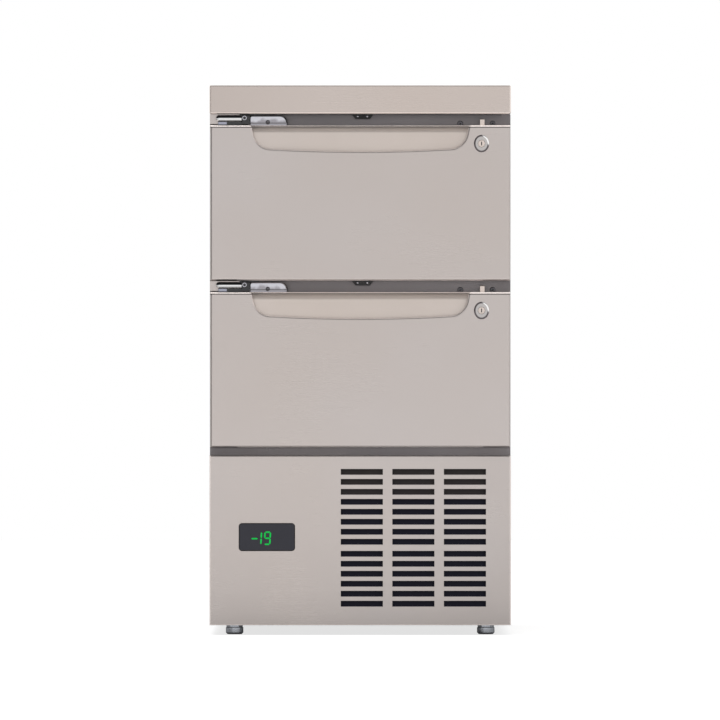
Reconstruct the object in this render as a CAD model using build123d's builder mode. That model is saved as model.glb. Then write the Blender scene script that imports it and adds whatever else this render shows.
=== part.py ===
from build123d import *
from math import cos, radians, sin
import os

# Undercounter drawer freezer with two insulated drawers over a machine compartment.
# Millimetres, +Z up, front facing -Y, origin on the floor under the middle of the cabinet.
os.makedirs("parts", exist_ok=True)

# Outside of the cabinet
cabinet_width = 466
cabinet_depth = 750
foot_gap = 15.5
service_height = 262
base_gap = 13
front_height = 240
front_gap = 18
top_gap = 17.5
worktop_height = 44

# Sheet and wall thicknesses
panel_sheet = 1.0
worktop_sheet = 1.2
service_sheet = 1.2
worktop_return = 14
skin_sheet = 1.4
liner_sheet = 1.0
tray_sheet = 1.5
frame_thickness = 3
side_wall = 45
rear_wall = 50
floor_wall = 47

# Drawer fronts and their seals
front_side_margin = 1
front_depth = 48
front_edge_radius = 3.6
service_edge_radius = 2
seal_land = 21.5
gasket_inset = 4
gasket_width = 14
gasket_depth = 12
gasket_seat = 2
seal_gap = 0.3
sheet_fit = 0.2
part_gap = 0.3

# Finger pull cut in the top of each front, and the pressed scoop behind it
pull_lock_gap = 19.6
pull_side_lean = 7
pull_side_drop = 35.1
pull_drop = 40.3
pull_corner_radius = 27
pull_lip_radius = 5
pull_flange = 5
pull_undercut = 5
scoop_depth = 23
scoop_low_depth = 8
scoop_roll_radius = 12
scoop_sheet = 1.0

# Lock in each front: bezel, turning barrel and lifting bolt
bezel_stand = 2
bezel_width = 23.5
bezel_height = 27
bezel_rim = 2.6
bezel_recess = 0.8
lock_side_inset = 45.4
lock_drop = 28.5
lock_housing_radius = 8
lock_housing_length = 21.5
barrel_radius = 5.5
turning_fit = 0.08
cam_radius = 11
cam_thickness = 2.5
cam_pin_radius = 1.5
cam_pin_orbit = 8.4853
cam_pin_length = 4
key_slot_width = 1.6
key_slot_height = 6
bolt_offset = 1.4
bolt_width = 6.8
bolt_thickness = 3
bolt_stand = 10
bolt_travel = 12
bolt_clearance = 0.6
keeper_depth = 8

# Drawer tub and telescopic slides
tub_sheet = 1.0
tub_back_gap = 16
tub_top_drop = 35
tub_lift = 27
tub_corner_radius = 14
tub_floor_radius = 10
tub_rim = 9
slide_space = 13.5
slide_back_gap = 8
slide_lift = 67
slide_sheet = 1.4
slide_half_height = 23
slide_set_back = 8
slide_play = 0.7
slide_front_lip = 11
slide_window = 40

# Service panel: display window and air slots
window_side_inset = 88.8
window_z = 151.8
window_width = 87.3
window_height = 43.5
window_radius = 5.5
vent_width = 65.1
vent_height = 9
vent_column_pitch = 79.7
vent_row_pitch = 15.43
vent_columns = 3
vent_side_inset = 150.8
upper_vent_rows = 8
upper_vent_z = 198.6
lower_vent_rows = 6
lower_vent_z = 87.4

# Feet
foot_side_inset = 38
front_foot_inset = 21.7
rear_foot_inset = 45
foot_radius = 13.6
foot_pad_height = 11.5
foot_hex_across = 22
foot_stud_radius = 5
foot_boss_radius = 10
foot_boss_height = 14

# Cooling machinery
condenser_width = 245
condenser_height = 215
condenser_lift = 18
condenser_depth = 44
condenser_side_inset = 150.5
condenser_set_back = 12
fin_count = 24
fin_slit = 5
end_plate = 1.5
fan_ring_radius = 100
fan_ring_depth = 24
fan_axis_z = 140
fan_blades = 5
motor_radius = 38
motor_length = 55
shaft_radius = 4
compressor_side_inset = 163
compressor_rear_inset = 245
compressor_radius = 75
compressor_height = 155
pipe_radius = 4
pipe_bend = 14
pipe_side_inset = 98
evaporator_space = 74
evaporator_side_gap = 38
evaporator_lift = 23
evaporator_height = 165
evaporator_depth = 50
evaporator_fan_drop = 127
evaporator_ring_radius = 60
control_box_width = 92
control_box_depth = 190
control_box_height = 120
control_box_side_inset = 68
control_box_set_back = 291.7

# Levels worked out from the floor up
service_top = foot_gap + service_height
lower_front_z = service_top + base_gap
upper_front_z = lower_front_z + front_height + front_gap
worktop_z = upper_front_z + front_height + top_gap
cabinet_height = worktop_z + worktop_height
cavity_floor = lower_front_z + seal_land
cavity_top = upper_front_z + front_height - seal_land
mullion_bottom = lower_front_z + front_height - seal_land
mullion_top = upper_front_z + seal_land
body_floor = cavity_floor - floor_wall
tray_top = foot_gap + tray_sheet

# Depths worked out from the faces of the fronts backwards
half_width = cabinet_width / 2
face_y = -cabinet_depth / 2 + bezel_stand
rear_y = cabinet_depth / 2
front_back_y = face_y + front_depth
frame_y = front_back_y + gasket_depth - gasket_seat + seal_gap
body_y = frame_y + frame_thickness
back_panel_y = rear_y - 2 * panel_sheet
cavity_back = rear_y - rear_wall
cavity_half = half_width - side_wall
slide_y = frame_y + slide_set_back
cover_y = cavity_back - evaporator_space
bolt_y = face_y + lock_housing_length + part_gap + cam_thickness + part_gap + bolt_thickness / 2
liner_radius = 12

# Widths and places worked out from the sides inwards
front_width = cabinet_width - 2 * front_side_margin
lock_x = half_width - lock_side_inset
pull_half_top = lock_x - pull_lock_gap
pull_half_low = pull_half_top - pull_side_lean
window_x = window_side_inset - half_width
vent_middle_x = half_width - vent_side_inset
foot_x = half_width - foot_side_inset
front_foot_y = body_y + front_foot_inset
rear_foot_y = rear_y - rear_foot_inset
condenser_x = half_width - condenser_side_inset
compressor_x = half_width - compressor_side_inset
compressor_y = rear_y - compressor_rear_inset
pipe_x = half_width - pipe_side_inset
pipe_y = cavity_back - evaporator_depth / 2
evaporator_half_width = cavity_half - evaporator_side_gap
evaporator_z = cavity_floor + evaporator_lift
evaporator_fan_z = cavity_top - evaporator_fan_drop
tub_half_width = cavity_half - slide_space
tub_length = cover_y - tub_back_gap - front_back_y
tub_height = front_height - tub_lift - tub_top_drop
slide_length = cover_y - slide_back_gap - slide_y
levels = {"upper": upper_front_z, "lower": lower_front_z}


def facing(y):
    """Sketch plane square to the Y axis at this depth, with sketch axes along X and Z."""
    return Plane.XZ.offset(-y)


def write(piece, name):
    """Label a finished piece and write its STEP file."""
    piece.part.label = name
    export_step(piece.part, f"parts/{name}.step")


def tube_along(points, radius, bend):
    """Tube whose centre line runs straight between bends, eight-sided to keep its mesh light."""
    with BuildPart() as tube:
        with BuildLine() as route:
            FilletPolyline(*points, radius=bend)
        with BuildSketch(Plane(origin=route.line @ 0, z_dir=route.line % 0)):
            RegularPolygon(radius, 8)
        sweep(path=route.line)
    return tube.part


# Cabinet: worktop


def make_worktop():
    """Folded pan with a return along its lower edge."""
    top_y = (face_y + rear_y) / 2
    top_depth = rear_y - face_y
    corner = 3
    top_edge = 2
    bottom_edge = 2
    with BuildPart() as worktop:
        with BuildSketch(Plane.XY.offset(worktop_z)):
            with Locations((0, top_y)):
                RectangleRounded(cabinet_width, top_depth, corner)
        extrude(amount=worktop_height)
        fillet(worktop.faces().sort_by(Axis.Z)[-1].edges(), top_edge)
        fillet(worktop.faces().sort_by(Axis.Z)[0].edges(), bottom_edge)
        with BuildSketch(Plane.XY.offset(worktop_z + worktop_sheet)):
            with Locations((0, top_y)):
                RectangleRounded(
                    cabinet_width - 2 * worktop_sheet, top_depth - 2 * worktop_sheet, corner - worktop_sheet
                )
        extrude(amount=worktop_height - 2 * worktop_sheet, mode=Mode.SUBTRACT)
        with BuildSketch(Plane.XY.offset(worktop_z)):
            with Locations((0, top_y)):
                Rectangle(cabinet_width - 2 * worktop_return, top_depth - 2 * worktop_return)
        extrude(amount=worktop_sheet, mode=Mode.SUBTRACT)
    return worktop


write(make_worktop(), "worktop")

with BuildPart() as worktop_core:
    core_y = (face_y + rear_y) / 2
    core_inset = worktop_sheet + sheet_fit
    with BuildSketch(Plane.XY.offset(worktop_z + worktop_sheet)):
        with Locations((0, core_y)):
            RectangleRounded(cabinet_width - 2 * core_inset, rear_y - face_y - 2 * core_inset, 2)
    extrude(amount=worktop_height - 2 * worktop_sheet)
    with BuildSketch(Plane.XY.offset(worktop_z)):
        with Locations((0, core_y)):
            core_step = worktop_return + sheet_fit
            Rectangle(cabinet_width - 2 * core_step, rear_y - face_y - 2 * core_step)
    extrude(amount=worktop_sheet)
    # Keeper slot for the bolt of the upper drawer
    with BuildSketch(Plane.XY.offset(worktop_z)):
        with Locations((lock_x + bolt_offset, bolt_y)):
            Rectangle(bolt_width + 2 * bolt_clearance, bolt_thickness + 2 * bolt_clearance)
    extrude(amount=keeper_depth, mode=Mode.SUBTRACT)
write(worktop_core, "worktop_core")

# Cabinet: outer panels

side_front_flange = 20
side_rear_flange = 15
side_bend = 1.5

with BuildPart() as side_panel_right:
    with BuildSketch(Plane.XY.offset(foot_gap)):
        with Locations((half_width, body_y)):
            Rectangle(side_front_flange, rear_y - body_y, align=(Align.MAX, Align.MIN))
        with Locations((half_width - panel_sheet, body_y + panel_sheet)):
            Rectangle(
                side_front_flange, rear_y - body_y - 2 * panel_sheet,
                align=(Align.MAX, Align.MIN), mode=Mode.SUBTRACT,
            )
        with Locations((half_width - side_rear_flange, rear_y)):
            Rectangle(side_front_flange, panel_sheet, align=(Align.MAX, Align.MAX), mode=Mode.SUBTRACT)
    extrude(amount=worktop_z - foot_gap)
    outer_bends = side_panel_right.edges().filter_by(Axis.Z).group_by(Axis.X)[-1]
    fillet(outer_bends, side_bend)
write(side_panel_right, "side_panel_right")

with BuildPart() as side_panel_left:
    add(mirror(side_panel_right.part, about=Plane.YZ, mode=Mode.PRIVATE))
write(side_panel_left, "side_panel_left")

pipe_holes = [(pipe_x, pipe_y), (-pipe_x, pipe_y)]
inner_half = half_width - panel_sheet

with BuildPart() as back_panel:
    with BuildSketch(Plane.YZ):
        with Locations((back_panel_y, body_floor)):
            Rectangle(panel_sheet, worktop_z - body_floor, align=Align.MIN)
        with Locations((body_y + panel_sheet, body_floor - panel_sheet)):
            Rectangle(back_panel_y - body_y, panel_sheet, align=Align.MIN)
    extrude(amount=inner_half - sheet_fit, both=True)
    with BuildSketch(Plane.XY.offset(body_floor - panel_sheet)):
        with Locations(*pipe_holes):
            Circle(pipe_radius + part_gap)
    extrude(amount=panel_sheet, mode=Mode.SUBTRACT)
write(back_panel, "back_panel")

# Cabinet: insulation, liner and front frame

cavity_height = cavity_top - cavity_floor
cavity_mid = (cavity_top + cavity_floor) / 2
liner_flange = 12

with BuildPart() as cabinet_foam:
    with BuildSketch(facing(body_y + panel_sheet)):
        with Locations((0, (worktop_z + body_floor) / 2)):
            Rectangle(2 * inner_half, worktop_z - body_floor)
    extrude(amount=-(back_panel_y - body_y - panel_sheet))
    with BuildSketch(facing(body_y + panel_sheet)):
        with Locations((0, cavity_mid)):
            RectangleRounded(
                2 * (cavity_half + liner_sheet), cavity_height + 2 * liner_sheet, liner_radius + liner_sheet
            )
    extrude(amount=-(cavity_back + liner_sheet - body_y - panel_sheet), mode=Mode.SUBTRACT)
    with BuildSketch(Plane.XY.offset(body_floor)):
        with Locations(*pipe_holes):
            Circle(pipe_radius + part_gap)
    extrude(amount=floor_wall, mode=Mode.SUBTRACT)
write(cabinet_foam, "cabinet_foam")

with BuildPart() as inner_liner:
    with BuildSketch(facing(body_y)):
        with Locations((0, cavity_mid)):
            RectangleRounded(
                2 * (cavity_half + liner_flange), cavity_height + 2 * liner_flange, liner_radius
            )
    extrude(amount=-panel_sheet)
    with BuildSketch(facing(body_y + panel_sheet)):
        with Locations((0, cavity_mid)):
            RectangleRounded(
                2 * (cavity_half + liner_sheet), cavity_height + 2 * liner_sheet, liner_radius + liner_sheet
            )
    extrude(amount=-(cavity_back + liner_sheet - body_y - panel_sheet))
    with BuildSketch(facing(body_y)):
        with Locations((0, cavity_mid)):
            RectangleRounded(2 * cavity_half, cavity_height, liner_radius)
    extrude(amount=-(cavity_back - body_y), mode=Mode.SUBTRACT)
    with BuildSketch(Plane.XY.offset(cavity_floor - liner_sheet)):
        with Locations(*pipe_holes):
            Circle(pipe_radius + part_gap)
    extrude(amount=liner_sheet, mode=Mode.SUBTRACT)
write(inner_liner, "inner_liner")

rail_screw_drop = 3.5
rail_screw_xs = [155.2, 205.4]
rail_screw_head = 4.6
rail_screw_shank = 2
rail_screw_places = [
    (x, base + front_height + rail_screw_drop) for base in levels.values() for x in rail_screw_xs
]
compartment_stile = 18
compartment_sill = 15

with BuildPart() as front_frame:
    with BuildSketch(facing(frame_y)):
        with Locations((0, foot_gap)):
            Rectangle(cabinet_width, worktop_z - foot_gap, align=(Align.CENTER, Align.MIN))
        with Locations((0, cavity_mid)):
            Rectangle(2 * cavity_half, cavity_height, mode=Mode.SUBTRACT)
        with Locations((0, foot_gap + compartment_sill)):
            Rectangle(
                2 * (half_width - compartment_stile), body_floor - foot_gap - compartment_sill,
                align=(Align.CENTER, Align.MIN), mode=Mode.SUBTRACT,
            )
        with Locations(*rail_screw_places):
            Circle(rail_screw_shank + part_gap, mode=Mode.SUBTRACT)
    extrude(amount=-frame_thickness)
write(front_frame, "front_frame")

mullion_depth = 40
mullion_edge = 4

with BuildPart() as mullion:
    with BuildSketch(facing(frame_y)):
        with Locations((0, (mullion_top + mullion_bottom) / 2)):
            Rectangle(2 * cavity_half, mullion_top - mullion_bottom)
        with Locations(*rail_screw_places):
            Circle(rail_screw_shank + part_gap, mode=Mode.SUBTRACT)
    extrude(amount=-mullion_depth)
    fillet(mullion.faces().sort_by(Axis.Y)[-1].edges().filter_by(Axis.X), mullion_edge)
write(mullion, "mullion")

with BuildPart() as rail_screws:
    with BuildSketch(facing(frame_y)):
        with Locations(*rail_screw_places):
            Circle(rail_screw_head)
    extrude(amount=2.2)
    chamfer(rail_screws.edges().group_by(Axis.Y)[0], 1)
    with BuildSketch(facing(frame_y)):
        with Locations(*rail_screw_places):
            Circle(rail_screw_shank)
    extrude(amount=-frame_thickness)
write(rail_screws, "rail_screws")

switch_top_half = 16.6
switch_bottom_half = 11.3
switch_x = 3.8
switch_bottom = 10.5
switch_top = 17.3
switch_depth = 10

with BuildPart() as drawer_switches:
    for base in levels.values():
        edge = base + front_height
        with BuildSketch(facing(frame_y)):
            with BuildLine():
                Polyline(
                    (switch_x - switch_bottom_half, edge + switch_bottom),
                    (switch_x + switch_bottom_half, edge + switch_bottom),
                    (switch_x + switch_top_half, edge + switch_top),
                    (switch_x - switch_top_half, edge + switch_top),
                    close=True,
                )
            make_face()
        extrude(amount=switch_depth)
write(drawer_switches, "drawer_switches")

# Service panel with display window and air slots

with BuildPart() as service_panel:
    with BuildSketch(facing(face_y)):
        with Locations((0, foot_gap)):
            Rectangle(cabinet_width, service_height, align=(Align.CENTER, Align.MIN))
    extrude(amount=-(frame_y - face_y))
    fillet(service_panel.faces().sort_by(Axis.Y)[0].edges(), service_edge_radius)
    with BuildSketch(facing(face_y + service_sheet)):
        with Locations((0, foot_gap + service_sheet)):
            Rectangle(
                cabinet_width - 2 * service_sheet, service_height - 2 * service_sheet,
                align=(Align.CENTER, Align.MIN),
            )
    extrude(amount=-(frame_y - face_y), mode=Mode.SUBTRACT)
    with BuildSketch(facing(face_y)):
        with Locations((window_x, window_z)):
            RectangleRounded(window_width, window_height, window_radius)
        for rows, centre_z in ((upper_vent_rows, upper_vent_z), (lower_vent_rows, lower_vent_z)):
            with Locations((vent_middle_x, centre_z)):
                with GridLocations(vent_column_pitch, vent_row_pitch, vent_columns, rows):
                    Rectangle(vent_width, vent_height)
    extrude(amount=-service_sheet, mode=Mode.SUBTRACT)
write(service_panel, "service_panel")

lens_stand = 0.4

with BuildPart() as display_lens:
    with BuildSketch(facing(face_y - lens_stand)):
        with Locations((window_x, window_z)):
            RectangleRounded(
                window_width - 2 * sheet_fit, window_height - 2 * sheet_fit, window_radius - sheet_fit
            )
    extrude(amount=-(lens_stand + service_sheet))
    chamfer(display_lens.faces().sort_by(Axis.Y)[0].edges(), 0.25)
write(display_lens, "display_lens")

with BuildPart() as display_module:
    with BuildSketch(facing(face_y + service_sheet)):
        with Locations((window_x, window_z)):
            Rectangle(window_width + 8, window_height + 8)
    extrude(amount=-2)
    with BuildSketch(facing(face_y + service_sheet + 2)):
        with Locations((window_x, window_z)):
            Rectangle(window_width - 12, window_height - 8)
    extrude(amount=-48)
write(display_module, "display_module")

# Base tray, feet and rear grille

foot_places = [(x, y) for y in (front_foot_y, rear_foot_y) for x in (-foot_x, foot_x)]
grille_set_in = 8
grille_y = rear_y - panel_sheet - grille_set_in
tray_half = inner_half - sheet_fit
tray_front = body_y + panel_sheet + sheet_fit
tray_back = grille_y - part_gap
tray_flange = 24

with BuildPart() as base_tray:
    with BuildSketch(Plane.XY.offset(foot_gap)):
        with Locations((0, tray_front)):
            Rectangle(2 * tray_half, tray_back - tray_front, align=(Align.CENTER, Align.MIN))
    extrude(amount=tray_flange)
    with BuildSketch(Plane.XY.offset(tray_top)):
        with Locations((0, tray_front + tray_sheet)):
            Rectangle(
                2 * (tray_half - tray_sheet), tray_back - tray_front - 2 * tray_sheet,
                align=(Align.CENTER, Align.MIN),
            )
    extrude(amount=tray_flange, mode=Mode.SUBTRACT)
    with BuildSketch(Plane.XY.offset(tray_top)):
        with Locations(*foot_places):
            Circle(foot_boss_radius)
    extrude(amount=foot_boss_height)
    with BuildSketch(Plane.XY.offset(foot_gap)):
        with Locations(*foot_places):
            Circle(foot_stud_radius + turning_fit)
    extrude(amount=tray_sheet + foot_boss_height, mode=Mode.SUBTRACT)
write(base_tray, "base_tray")


def make_foot(x, y):
    """Levelling foot: round pad, hexagon to turn it by, and its threaded stud."""
    hex_top = foot_gap - part_gap
    with BuildPart() as foot:
        with BuildSketch():
            with Locations((x, y)):
                Circle(foot_radius)
        extrude(amount=foot_pad_height)
        chamfer(foot.edges().group_by(Axis.Z)[0], 2.6)
        chamfer(foot.edges().group_by(Axis.Z)[-1], 1.2)
        with BuildSketch(Plane.XY.offset(foot_pad_height)):
            with Locations((x, y)):
                RegularPolygon(foot_hex_across / 2, 6, major_radius=False)
        extrude(amount=hex_top - foot_pad_height)
        with BuildSketch(Plane.XY.offset(hex_top)):
            with Locations((x, y)):
                Circle(foot_stud_radius)
        extrude(amount=tray_sheet + foot_boss_height + part_gap + 2)
    return foot


for row, foot_y in (("front", front_foot_y), ("rear", rear_foot_y)):
    for side, sign in (("left", -1), ("right", 1)):
        write(make_foot(sign * foot_x, foot_y), f"foot_{row}_{side}")

gland_x = -180
gland_z = 60
gland_thread_radius = 8
gland_bore_radius = 5
louvre_length = 150
louvre_width = 6
louvre_pitch = 14
louvre_count = 22

with BuildPart() as rear_grille:
    grille_bottom = foot_gap + tray_sheet
    grille_height = body_floor - panel_sheet - grille_bottom - sheet_fit
    with BuildSketch(facing(grille_y)):
        with Locations((0, grille_bottom)):
            Rectangle(2 * tray_half, grille_height, align=(Align.CENTER, Align.MIN))
    extrude(amount=-grille_set_in)
    with BuildSketch(facing(grille_y + panel_sheet)):
        with Locations((0, grille_bottom + panel_sheet)):
            Rectangle(
                2 * (tray_half - panel_sheet), grille_height - 2 * panel_sheet,
                align=(Align.CENTER, Align.MIN),
            )
    extrude(amount=-grille_set_in, mode=Mode.SUBTRACT)
    with BuildSketch(facing(grille_y)):
        with Locations((20, grille_bottom + grille_height / 2)):
            with GridLocations(louvre_pitch, 0, louvre_count, 1):
                Rectangle(louvre_width, louvre_length)
        with Locations((gland_x, gland_z)):
            Circle(gland_thread_radius + part_gap)
    extrude(amount=-panel_sheet, mode=Mode.SUBTRACT)
write(rear_grille, "rear_grille")

with BuildPart() as cable_gland:
    with BuildSketch(facing(grille_y + panel_sheet)):
        with Locations((gland_x, gland_z)):
            RegularPolygon(12, 6)
    extrude(amount=-(grille_set_in - 2 * panel_sheet))
    with BuildSketch(facing(grille_y - 14)):
        with Locations((gland_x, gland_z)):
            Circle(gland_thread_radius)
    extrude(amount=-(14 + panel_sheet))
    with BuildSketch(facing(grille_y - 14)):
        with Locations((gland_x, gland_z)):
            Circle(gland_bore_radius)
    extrude(amount=-(14 + grille_set_in), mode=Mode.SUBTRACT)
write(cable_gland, "cable_gland")

# Catch hardware in the gaps above the fronts

strike_left = -223
strike_right = -183.4
strike_middle = 10.7
strike_radius = 4.9
strike_stand = 1.2
strike_rib = 5
bracket_left = -232.5
bracket_right = -184
bracket_bottom = 2
bracket_top = 17
bracket_sheet = 1.5
bracket_set_back = 9

with BuildPart() as strike_brackets:
    for base in levels.values():
        edge = base + front_height
        plate_y = face_y + bracket_set_back
        with BuildSketch(facing(plate_y)):
            with Locations((bracket_left, edge + bracket_bottom)):
                Rectangle(bracket_right - bracket_left, bracket_top - bracket_bottom, align=Align.MIN)
        extrude(amount=-bracket_sheet)
        with BuildSketch(facing(plate_y)):
            with Locations((bracket_left, edge + bracket_bottom)):
                Rectangle(bracket_sheet, bracket_top - bracket_bottom, align=Align.MIN)
        extrude(amount=-(frame_y - plate_y))
        with BuildSketch(facing(frame_y - bracket_sheet)):
            with Locations((bracket_left, edge + bracket_bottom)):
                Rectangle(side_front_flange, bracket_top - bracket_bottom, align=Align.MIN)
        extrude(amount=-bracket_sheet)
write(strike_brackets, "strike_brackets")

with BuildPart() as catch_strikes:
    # Round-nosed roller on a rib that seats against its bracket
    strike_y = face_y - strike_stand + strike_radius
    for base in levels.values():
        strike_z = base + front_height + strike_middle
        with BuildSketch(Plane.YZ.offset(strike_left + strike_radius)):
            with Locations((strike_y, strike_z)):
                Circle(strike_radius)
        extrude(amount=strike_right - strike_left - strike_radius)
        with Locations((strike_left + strike_radius, strike_y, strike_z)):
            Sphere(strike_radius)
        with BuildSketch(Plane.YZ.offset(strike_left + 2 * strike_radius)):
            with Locations((strike_y, strike_z)):
                Rectangle(face_y + bracket_set_back - strike_y, strike_rib, align=(Align.MIN, Align.CENTER))
        extrude(amount=strike_right - strike_left - 4 * strike_radius)
write(catch_strikes, "catch_strikes")


# Drawer fronts


def pull_outline(base, grow):
    """Outline of the finger pull, widened by grow, in face coordinates."""
    top = base + front_height
    over = 10
    lean = (pull_half_top - pull_half_low) / pull_side_drop
    top_half = pull_half_top + lean * over
    with BuildSketch() as outline:
        with BuildLine():
            Line((-pull_half_low, top - pull_side_drop), (-top_half, top + over))
            Line((-top_half, top + over), (top_half, top + over))
            Line((top_half, top + over), (pull_half_low, top - pull_side_drop))
            ThreePointArc(
                (pull_half_low, top - pull_side_drop), (0, top - pull_drop),
                (-pull_half_low, top - pull_side_drop),
            )
        make_face()
        fillet(outline.vertices().group_by(Axis.Y)[0], pull_corner_radius)
        if grow:
            offset(amount=grow)
    return outline.sketch


def face_outline(base):
    """Outline of a drawer front's face with the pull cut out of its top edge."""
    with BuildSketch() as outline:
        with Locations((0, base)):
            Rectangle(front_width, front_height, align=(Align.CENTER, Align.MIN))
        add(pull_outline(base, 0), mode=Mode.SUBTRACT)
        lips = [v for v in outline.vertices().group_by(Axis.Y)[-1] if abs(v.X) < pull_half_top + 1]
        fillet(lips, pull_lip_radius)
    return outline.sketch


def scoop_space(base, grow):
    """Hollow of the scoop behind the face, or with grow the outside of its pressed sheet."""
    top = base + front_height - skin_sheet
    low = base + front_height - pull_drop - pull_undercut
    above = top + 10
    front = face_y + skin_sheet
    back = face_y + scoop_depth
    roll = scoop_roll_radius
    with BuildPart() as space:
        with BuildSketch(facing(front)):
            add(pull_outline(base, pull_undercut + grow))
            with Locations((0, top)):
                Rectangle(front_width, 20, align=(Align.CENTER, Align.MIN), mode=Mode.SUBTRACT)
        extrude(amount=-(scoop_depth + grow))
        with BuildSketch(Plane.YZ):
            with BuildLine():
                Polyline((front, above), (front, low), (face_y + scoop_low_depth, low))
                Line((face_y + scoop_low_depth, low), (back - roll, top - roll))
                ThreePointArc(
                    (back - roll, top - roll),
                    (back - roll * cos(radians(45)), top - roll + roll * sin(radians(45))),
                    (back, top),
                )
                Polyline((back, top), (back, above), (front, above))
            make_face()
            if grow:
                offset(amount=grow, kind=Kind.INTERSECTION)
        extrude(amount=front_width / 2, both=True, mode=Mode.INTERSECT)
    return space.part


def crest_bevel(base):
    """Wedge cut from the crest of the front's inner flange, as wide as the pull is there."""
    top = base + front_height
    front = face_y + scoop_depth
    depth = skin_sheet * 0.75
    with BuildPart() as wedge:
        with BuildSketch(facing(front)):
            with Locations((0, base)):
                Rectangle(front_width, front_height, align=(Align.CENTER, Align.MIN))
            add(face_outline(base), mode=Mode.SUBTRACT)
        extrude(amount=-depth)
        with BuildSketch(Plane.YZ):
            with BuildLine():
                Polyline((front, top - depth), (front + depth, top), (front, top), close=True)
            make_face()
        extrude(amount=front_width / 2, both=True, mode=Mode.INTERSECT)
    return wedge.part


def make_front_skin(base):
    """Folded stainless face: rolled edges, the pull with its flange, lock hole and bolt slots."""
    top = base + front_height
    with BuildPart() as skin:
        with BuildSketch(facing(face_y)):
            add(face_outline(base))
        extrude(amount=-scoop_depth)
        fillet(skin.faces().sort_by(Axis.Y)[0].edges(), front_edge_radius)
        with BuildSketch(facing(face_y + scoop_depth)):
            with Locations((0, base)):
                Rectangle(front_width, front_height, align=(Align.CENTER, Align.MIN))
        extrude(amount=-(front_depth - scoop_depth))
        add(crest_bevel(base), mode=Mode.SUBTRACT)
        with BuildSketch(facing(face_y + skin_sheet)):
            add(face_outline(base))
            offset(amount=-skin_sheet)
        extrude(amount=-(pull_flange - skin_sheet), mode=Mode.SUBTRACT)
        with BuildSketch(facing(face_y + pull_flange)):
            with Locations((0, base + skin_sheet)):
                Rectangle(
                    front_width - 2 * skin_sheet, front_height - 2 * skin_sheet,
                    align=(Align.CENTER, Align.MIN),
                )
        extrude(amount=-front_depth, mode=Mode.SUBTRACT)
        with BuildSketch(facing(face_y)):
            with Locations((lock_x, top - lock_drop)):
                Circle(lock_housing_radius + sheet_fit)
        extrude(amount=-pull_flange, mode=Mode.SUBTRACT)
        for slot_z in (base, top - skin_sheet):
            with BuildSketch(Plane.XY.offset(slot_z)):
                with Locations((lock_x + bolt_offset, bolt_y)):
                    Rectangle(bolt_width + 2 * bolt_clearance, bolt_thickness + 2 * bolt_clearance)
            extrude(amount=skin_sheet, mode=Mode.SUBTRACT)
    return skin


def make_handle_scoop(base):
    """Pressed scoop that lines the finger pull, undercut behind the face's flange."""
    with BuildPart() as scoop:
        add(scoop_space(base, scoop_sheet))
        add(scoop_space(base, 0), mode=Mode.SUBTRACT)
    return scoop


lock_pocket_half = 15
lock_pocket_low = 19
lock_pocket_high = 14
bolt_channel_half = 6


def make_front_core(base):
    """Foam core with its moulded inner panel, recessed for the scoop, lock, bolt and seal."""
    top = base + front_height
    core_bottom = base + skin_sheet
    lock_z = top - lock_drop
    bolt_x = lock_x + bolt_offset
    pocket_back = bolt_y + bolt_thickness / 2 + part_gap
    with BuildPart() as core:
        with BuildSketch(facing(face_y + skin_sheet)):
            with Locations((0, core_bottom)):
                Rectangle(
                    front_width - 2 * skin_sheet, front_height - 2 * skin_sheet,
                    align=(Align.CENTER, Align.MIN),
                )
        extrude(amount=-(front_depth - skin_sheet))
        add(scoop_space(base, scoop_sheet + sheet_fit), mode=Mode.SUBTRACT)
        # Pocket for the lock body, then the bolt's way up and the keeper hole for a bolt from below
        with BuildSketch(facing(face_y + skin_sheet)):
            with Locations((lock_x, lock_z - lock_pocket_low)):
                Rectangle(
                    2 * lock_pocket_half, lock_pocket_low + lock_pocket_high,
                    align=(Align.CENTER, Align.MIN),
                )
            with Locations((bolt_x, lock_z)):
                Rectangle(2 * bolt_channel_half, lock_drop, align=(Align.CENTER, Align.MIN))
        extrude(amount=-(pocket_back - face_y - skin_sheet), mode=Mode.SUBTRACT)
        with BuildSketch(Plane.XY.offset(core_bottom)):
            with Locations((bolt_x, bolt_y)):
                Rectangle(bolt_width + 2 * bolt_clearance, bolt_thickness + 2 * bolt_clearance)
        extrude(amount=keeper_depth, mode=Mode.SUBTRACT)
        # Groove for the seal
        with BuildSketch(facing(front_back_y - gasket_seat)):
            add(gasket_ring(base, 0, gasket_width))
        extrude(amount=-gasket_seat, mode=Mode.SUBTRACT)
    return core


def gasket_ring(base, inset, width):
    """Rectangular ring of the seal: inset from its outer edge, and this wide."""
    centre = base + front_height / 2
    outer_width = front_width - 2 * (gasket_inset + inset)
    outer_height = front_height - 2 * (gasket_inset + inset)
    with BuildSketch() as ring:
        with Locations((0, centre)):
            Rectangle(outer_width, outer_height)
            Rectangle(outer_width - 2 * width, outer_height - 2 * width, mode=Mode.SUBTRACT)
    return ring.sketch


def make_gasket(base):
    """Magnetic seal: base strip, narrow bellows and the rounded head that meets the frame."""
    strip = 4
    bellows = 3
    bellows_inset = 4
    head_inset = 0.5
    with BuildPart() as gasket:
        start = front_back_y - gasket_seat
        with BuildSketch(facing(start)):
            add(gasket_ring(base, 0, gasket_width))
        extrude(amount=-strip)
        with BuildSketch(facing(start + strip)):
            add(gasket_ring(base, bellows_inset, gasket_width - 2 * bellows_inset))
        extrude(amount=-bellows)
        with BuildSketch(facing(start + strip + bellows)):
            add(gasket_ring(base, head_inset, gasket_width - 2 * head_inset))
        extrude(amount=-(gasket_depth - strip - bellows))
        fillet(gasket.faces().sort_by(Axis.Y)[-1].edges(), 1.5)
    return gasket


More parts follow.
